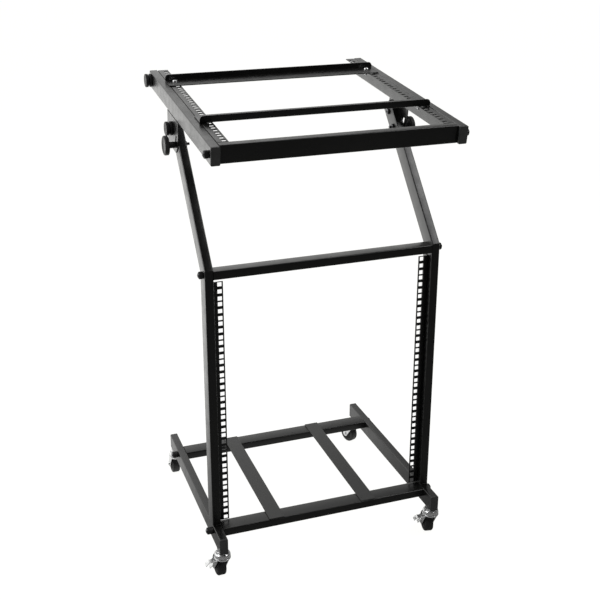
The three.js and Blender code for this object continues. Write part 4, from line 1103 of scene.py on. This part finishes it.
class RACKSTAND_OT_casters(bpy.types.Operator):
    """Swivel casters: stems, domed forks, axles, wheels, and brake levers in front"""
    bl_idname = "rackstand.casters"
    bl_label = "Casters"

    def execute(self, context):
        for name, braked in CASTERS:
            swivel = JOINTS[f"{name}_swivel"]["pos_m"]
            spin = JOINTS[f"{name}_wheel_spin"]
            yaw = math.atan2(spin["axis"][1], spin["axis"][0])
            place = at(swivel[0], swivel[1], 0) @ Matrix.Rotation(yaw, 4, "Z")
            self.stem(name, at(swivel[0], swivel[1], 0))
            trail = (Vector(spin["pos_m"][:2]) - Vector(swivel[:2])).length
            axle = (trail, spin["pos_m"][2])
            self.fork(name, place, axle, braked)
            self.wheel(name, place @ at(0, *axle))
            if braked:
                self.lever(name, place)
        return {"FINISHED"}

    def stem(self, name, place):
        """Screwed stem with the flange that the dome turns under."""
        piece(f"{name}_stem", turned(STEM_PROFILE, PLAIN_TURN), "zinc_steel", "stand",
              [f"{name}_caster_stem"], place)

    def fork(self, name, place, axle, braked):
        """Pressed dome over the ball race, and two legs down to the axle."""
        parts = [turned(DOME_PROFILE, FINE_TURN)]
        outline = [(-LEG_TOP_HALF, LEG_TOP)]
        outline += arc(axle, LEG_END, LEG_WRAP - math.pi, LEG_WRAP, LEG_STEPS)
        outline += [LEG_SHOULDER, (LEG_TOP_HALF, LEG_TOP)]
        hole = arc(axle, AXLE_HOLE, 0, TURN, PIN_TURN)[:-1]
        for side in SIDES:
            leg = plate(outline, [hole], LEG_THICK)
            parts.append(move(leg, flip(side) @ at(LEG_INSIDE, 0, 0) @ FLAT_TO_SIDE))
        if braked:
            for side, past in ((LEFT, 0), (RIGHT, EAR[2])):
                y = LEVER_BACK + side * EAR_APART + past
                ear = rounded_block(*EAR, EAR_CORNER)
                parts.append(move(ear, at(-EAR_OUT, y, LEVER_HEIGHT) @ TO_FRONT))
            pin = at(-LEVER_OUT, LEVER_PIN_START, LEVER_HEIGHT) @ TO_BACK
            parts.append(move(turned(LEVER_PIN, PIN_TURN), pin))
        piece(f"{name}_housing", combine(parts), "zinc_steel", f"{name}_caster",
              [f"{name}_fork"], place, bevel=FORK_EDGE)
        ends = []
        for side in SIDES:
            seat = at(side * RIVET_SEAT, *axle) @ outwards(side)
            ends.append(move(turned(RIVET_PROFILE, SMALL_TURN), seat))
        ends.append(move(turned(AXLE_PROFILE, SCREW_TURN), at(0, *axle) @ ALONG_X))
        piece(f"{name}_axle_pin", combine(ends), "zinc_steel", f"{name}_caster",
              [f"{name}_axle"], place)

    def wheel(self, name, place):
        """Rubber tread on a dished plastic hub."""
        r, half = sizes().wheel_radius, TREAD_HALF
        middle, rise = r - TREAD_EDGE, half - TREAD_EDGE
        tread = [(TREAD_SEAT, TREAD_SINK - half), (TREAD_SHOULDER, -half)]
        tread += arc((middle, -rise), TREAD_EDGE, -QUARTER, 0, TREAD_STEPS)
        tread += arc((middle, rise), TREAD_EDGE, 0, QUARTER, TREAD_STEPS)
        tread += [(TREAD_SHOULDER, half), (TREAD_SEAT, half - TREAD_SINK), tread[0]]
        piece(f"{name}_tread", turned(tread, FINEST_TURN), "wheel_rubber", f"{name}_wheel",
              [f"{name}_wheel"], place @ ALONG_X)
        hub = list(HUB_PROFILE)
        hub += [(radius, -x) for radius, x in reversed(hub)]
        hub.append(hub[0])
        piece(f"{name}_rim", turned(hub, FINE_TURN), "black_plastic", f"{name}_wheel",
              place=place @ ALONG_X)

    def lever(self, name, place):
        """Pressed rocker: a tread that curves down and outwards, and a tail under it."""
        bm = folded_sheet(LEVER_POINTS, LEVER_WIDTH, LEVER_BEND)
        thicken(bm, LEVER_SHEET)
        seat = place @ at(-LEVER_OUT, LEVER_BACK - LEVER_WIDTH / 2, LEVER_HEIGHT)
        piece(f"{name}_lever", bm, "zinc_steel", f"{name}_brake", [f"{name}_brake_lever"],
              seat, bevel=SHEET_EDGE)


class RACKSTAND_OT_stage(bpy.types.Operator):
    """Pale floor, white surroundings, studio lamps and the camera"""
    bl_idname = "rackstand.stage"
    bl_label = "Stage"

    def execute(self, context):
        self.floor()
        self.world()
        self.lamps()
        self.camera()
        context.scene.view_settings.view_transform = "Standard"
        return {"FINISHED"}

    def floor(self):
        """Pale floor that glows a little, so that only the stand's shadow shows on it."""
        bm = bmesh.new()
        bmesh.ops.create_grid(bm, x_segments=1, y_segments=1, size=FLOOR_SIZE)
        mesh = bpy.data.meshes.new("floor")
        bm.to_mesh(mesh)
        bm.free()
        floor = bpy.data.objects.new("floor", mesh)
        bpy.context.scene.collection.objects.link(floor)
        material = bpy.data.materials.new("studio_floor")
        material.use_nodes = True
        tree = material.node_tree
        tree.nodes.clear()
        matt = tree.nodes.new("ShaderNodeBsdfDiffuse")
        matt.inputs["Color"].default_value = (*colours().floor, 1)
        glow = tree.nodes.new("ShaderNodeEmission")
        glow.inputs["Color"].default_value = WARM_WHITE
        tree.links.new(self.floor_glow(tree), glow.inputs["Strength"])
        share = tree.nodes.new("ShaderNodeMath")
        share.operation = "MULTIPLY"
        share.inputs[1].default_value = FLOOR_GLOW_SHARE
        mix = tree.nodes.new("ShaderNodeMixShader")
        out = tree.nodes.new("ShaderNodeOutputMaterial")
        tree.links.new(self.seen(tree), share.inputs[0])
        tree.links.new(share.outputs["Value"], mix.inputs["Fac"])
        tree.links.new(matt.outputs["BSDF"], mix.inputs[1])
        tree.links.new(glow.outputs["Emission"], mix.inputs[2])
        tree.links.new(mix.outputs["Shader"], out.inputs["Surface"])
        mesh.materials.append(material)

    def floor_glow(self, tree):
        """White for the camera; in reflections dark in front of the stand and bright behind it."""
        where = tree.nodes.new("ShaderNodeTexCoord")
        split = tree.nodes.new("ShaderNodeSeparateXYZ")
        behind = tree.nodes.new("ShaderNodeMapRange")
        behind.interpolation_type = "SMOOTHSTEP"
        behind.inputs["From Min"].default_value = FLOOR_GLOW_FROM[0]
        behind.inputs["From Max"].default_value = FLOOR_GLOW_FROM[1]
        behind.inputs["To Min"].default_value = FLOOR_GLOW[0]
        behind.inputs["To Max"].default_value = FLOOR_GLOW[1]
        path = tree.nodes.new("ShaderNodeLightPath")
        glow = tree.nodes.new("ShaderNodeMix")
        glow.inputs["B"].default_value = FLOOR_GLOW_SEEN
        tree.links.new(where.outputs["Object"], split.inputs["Vector"])
        tree.links.new(split.outputs["Y"], behind.inputs["Value"])
        tree.links.new(behind.outputs["Result"], glow.inputs["A"])
        tree.links.new(path.outputs["Is Camera Ray"], glow.inputs["Factor"])
        return glow.outputs["Result"]

    def seen(self, tree):
        """1 for what the camera sees, straight or in a glossy or clear surface."""
        path = tree.nodes.new("ShaderNodeLightPath")
        value = path.outputs["Is Camera Ray"]
        for name in ("Is Glossy Ray", "Is Transmission Ray"):
            either = tree.nodes.new("ShaderNodeMath")
            either.operation = "MAXIMUM"
            tree.links.new(value, either.inputs[0])
            tree.links.new(path.outputs[name], either.inputs[1])
            value = either.outputs["Value"]
        return value

    def world(self):
        """White all round for the camera; bright behind and to the left in reflections."""
        world = bpy.data.worlds.new("white_studio")
        bpy.context.scene.world = world
        world.use_nodes = True
        tree = world.node_tree
        tree.nodes.clear()
        where = tree.nodes.new("ShaderNodeTexCoord")
        dot = tree.nodes.new("ShaderNodeVectorMath")
        dot.operation = "DOT_PRODUCT"
        dot.inputs[1].default_value = WORLD_BRIGHT_SIDE
        ramp = tree.nodes.new("ShaderNodeMapRange")
        ramp.interpolation_type = "SMOOTHSTEP"
        ramp.inputs["From Min"].default_value = WORLD_GLOW_FROM[0]
        ramp.inputs["From Max"].default_value = WORLD_GLOW_FROM[1]
        ramp.inputs["To Min"].default_value = WORLD_GLOW[0]
        ramp.inputs["To Max"].default_value = WORLD_GLOW[1]
        path = tree.nodes.new("ShaderNodeLightPath")
        shown = tree.nodes.new("ShaderNodeMath")
        shown.operation = "MAXIMUM"
        soft = tree.nodes.new("ShaderNodeMix")
        soft.inputs["A"].default_value = WORLD_SOFT
        whole = tree.nodes.new("ShaderNodeBackground")
        whole.inputs["Color"].default_value = WARM_WHITE
        out = tree.nodes.new("ShaderNodeOutputWorld")
        tree.links.new(where.outputs["Generated"], dot.inputs[0])
        tree.links.new(dot.outputs["Value"], ramp.inputs["Value"])
        tree.links.new(ramp.outputs["Result"], shown.inputs[0])
        tree.links.new(path.outputs["Is Camera Ray"], shown.inputs[1])
        tree.links.new(self.seen(tree), soft.inputs["Factor"])
        tree.links.new(shown.outputs["Value"], soft.inputs["B"])
        tree.links.new(soft.outputs["Result"], whole.inputs["Strength"])
        tree.links.new(whole.outputs["Background"], out.inputs["Surface"])

    def lamps(self):
        """Square soft lamps, all turned to the stand's middle."""
        for name, place, size, power in LAMPS:
            light = bpy.data.lights.new(name, "AREA")
            light.shape = "SQUARE"
            light.size = size
            light.energy = power
            lamp = bpy.data.objects.new(name, light)
            lamp.location = place
            aim = LAMP_AIM - Vector(place)
            lamp.rotation_euler = aim.to_track_quat("-Z", "Y").to_euler()
            bpy.context.scene.collection.objects.link(lamp)

    def camera(self):
        """Stands where the photograph was taken from, rolled as it was."""
        level = Vector((math.sin(CAMERA_AZIMUTH), -math.cos(CAMERA_AZIMUTH), 0))
        back = level * math.cos(CAMERA_ELEVATION)
        back.z = math.sin(CAMERA_ELEVATION)
        right = Vector((math.cos(CAMERA_AZIMUTH), math.sin(CAMERA_AZIMUTH), 0))
        up = back.cross(right)
        across = right * math.cos(CAMERA_ROLL) + up * math.sin(CAMERA_ROLL)
        above = up * math.cos(CAMERA_ROLL) - right * math.sin(CAMERA_ROLL)
        lens = bpy.data.cameras.new("camera")
        lens.sensor_width = SENSOR
        lens.lens = CAMERA_LENS
        lens.shift_x, lens.shift_y = CAMERA_SHIFT
        lens.clip_end = FAR
        camera = bpy.data.objects.new("camera", lens)
        turn = Matrix((across, above, back)).transposed().to_4x4()
        camera.matrix_world = Matrix.Translation(CAMERA_PLACE) @ turn
        bpy.context.scene.collection.objects.link(camera)
        bpy.context.scene.camera = camera


class RACKSTAND_PT_panel(bpy.types.Panel):
    """Sizes and colours of the rack stand, and the operators that build it"""
    bl_idname = "RACKSTAND_PT_panel"
    bl_label = "Rack stand"
    bl_space_type = "VIEW_3D"
    bl_region_type = "UI"
    bl_category = "Rack stand"

    def draw(self, context):
        """Lists every size, colour and operator."""
        for group in (context.scene.rack_stand_sizes, context.scene.rack_stand_colours):
            for name in group.bl_rna.properties.keys():
                if name not in ("rna_type", "name"):
                    self.layout.prop(group, name)
        for operator in OPERATORS:
            self.layout.operator(operator.bl_idname)


GROUPS = (RackStandSizes, RackStandColours)
OPERATORS = (
    RACKSTAND_OT_stage,
    RACKSTAND_OT_base,
    RACKSTAND_OT_uprights,
    RACKSTAND_OT_rack_rails,
    RACKSTAND_OT_table,
    RACKSTAND_OT_knobs,
    RACKSTAND_OT_casters,
)


def register():
    """Adds the sizes, colours, operators and panel."""
    for kind in (*GROUPS, *OPERATORS, RACKSTAND_PT_panel):
        bpy.utils.register_class(kind)
    bpy.types.Scene.rack_stand_sizes = bpy.props.PointerProperty(type=RackStandSizes)
    bpy.types.Scene.rack_stand_colours = bpy.props.PointerProperty(type=RackStandColours)


def unregister():
    """Takes them away again."""
    del bpy.types.Scene.rack_stand_sizes
    del bpy.types.Scene.rack_stand_colours
    for kind in reversed((*GROUPS, *OPERATORS, RACKSTAND_PT_panel)):
        bpy.utils.unregister_class(kind)


def main():
    """Builds the stage and the stand."""
    register()
    bpy.ops.rackstand.stage()
    bpy.ops.rackstand.base()
    bpy.ops.rackstand.uprights()
    bpy.ops.rackstand.rack_rails()
    bpy.ops.rackstand.table()
    bpy.ops.rackstand.knobs()
    bpy.ops.rackstand.casters()


if __name__ == "__main__":
    main()
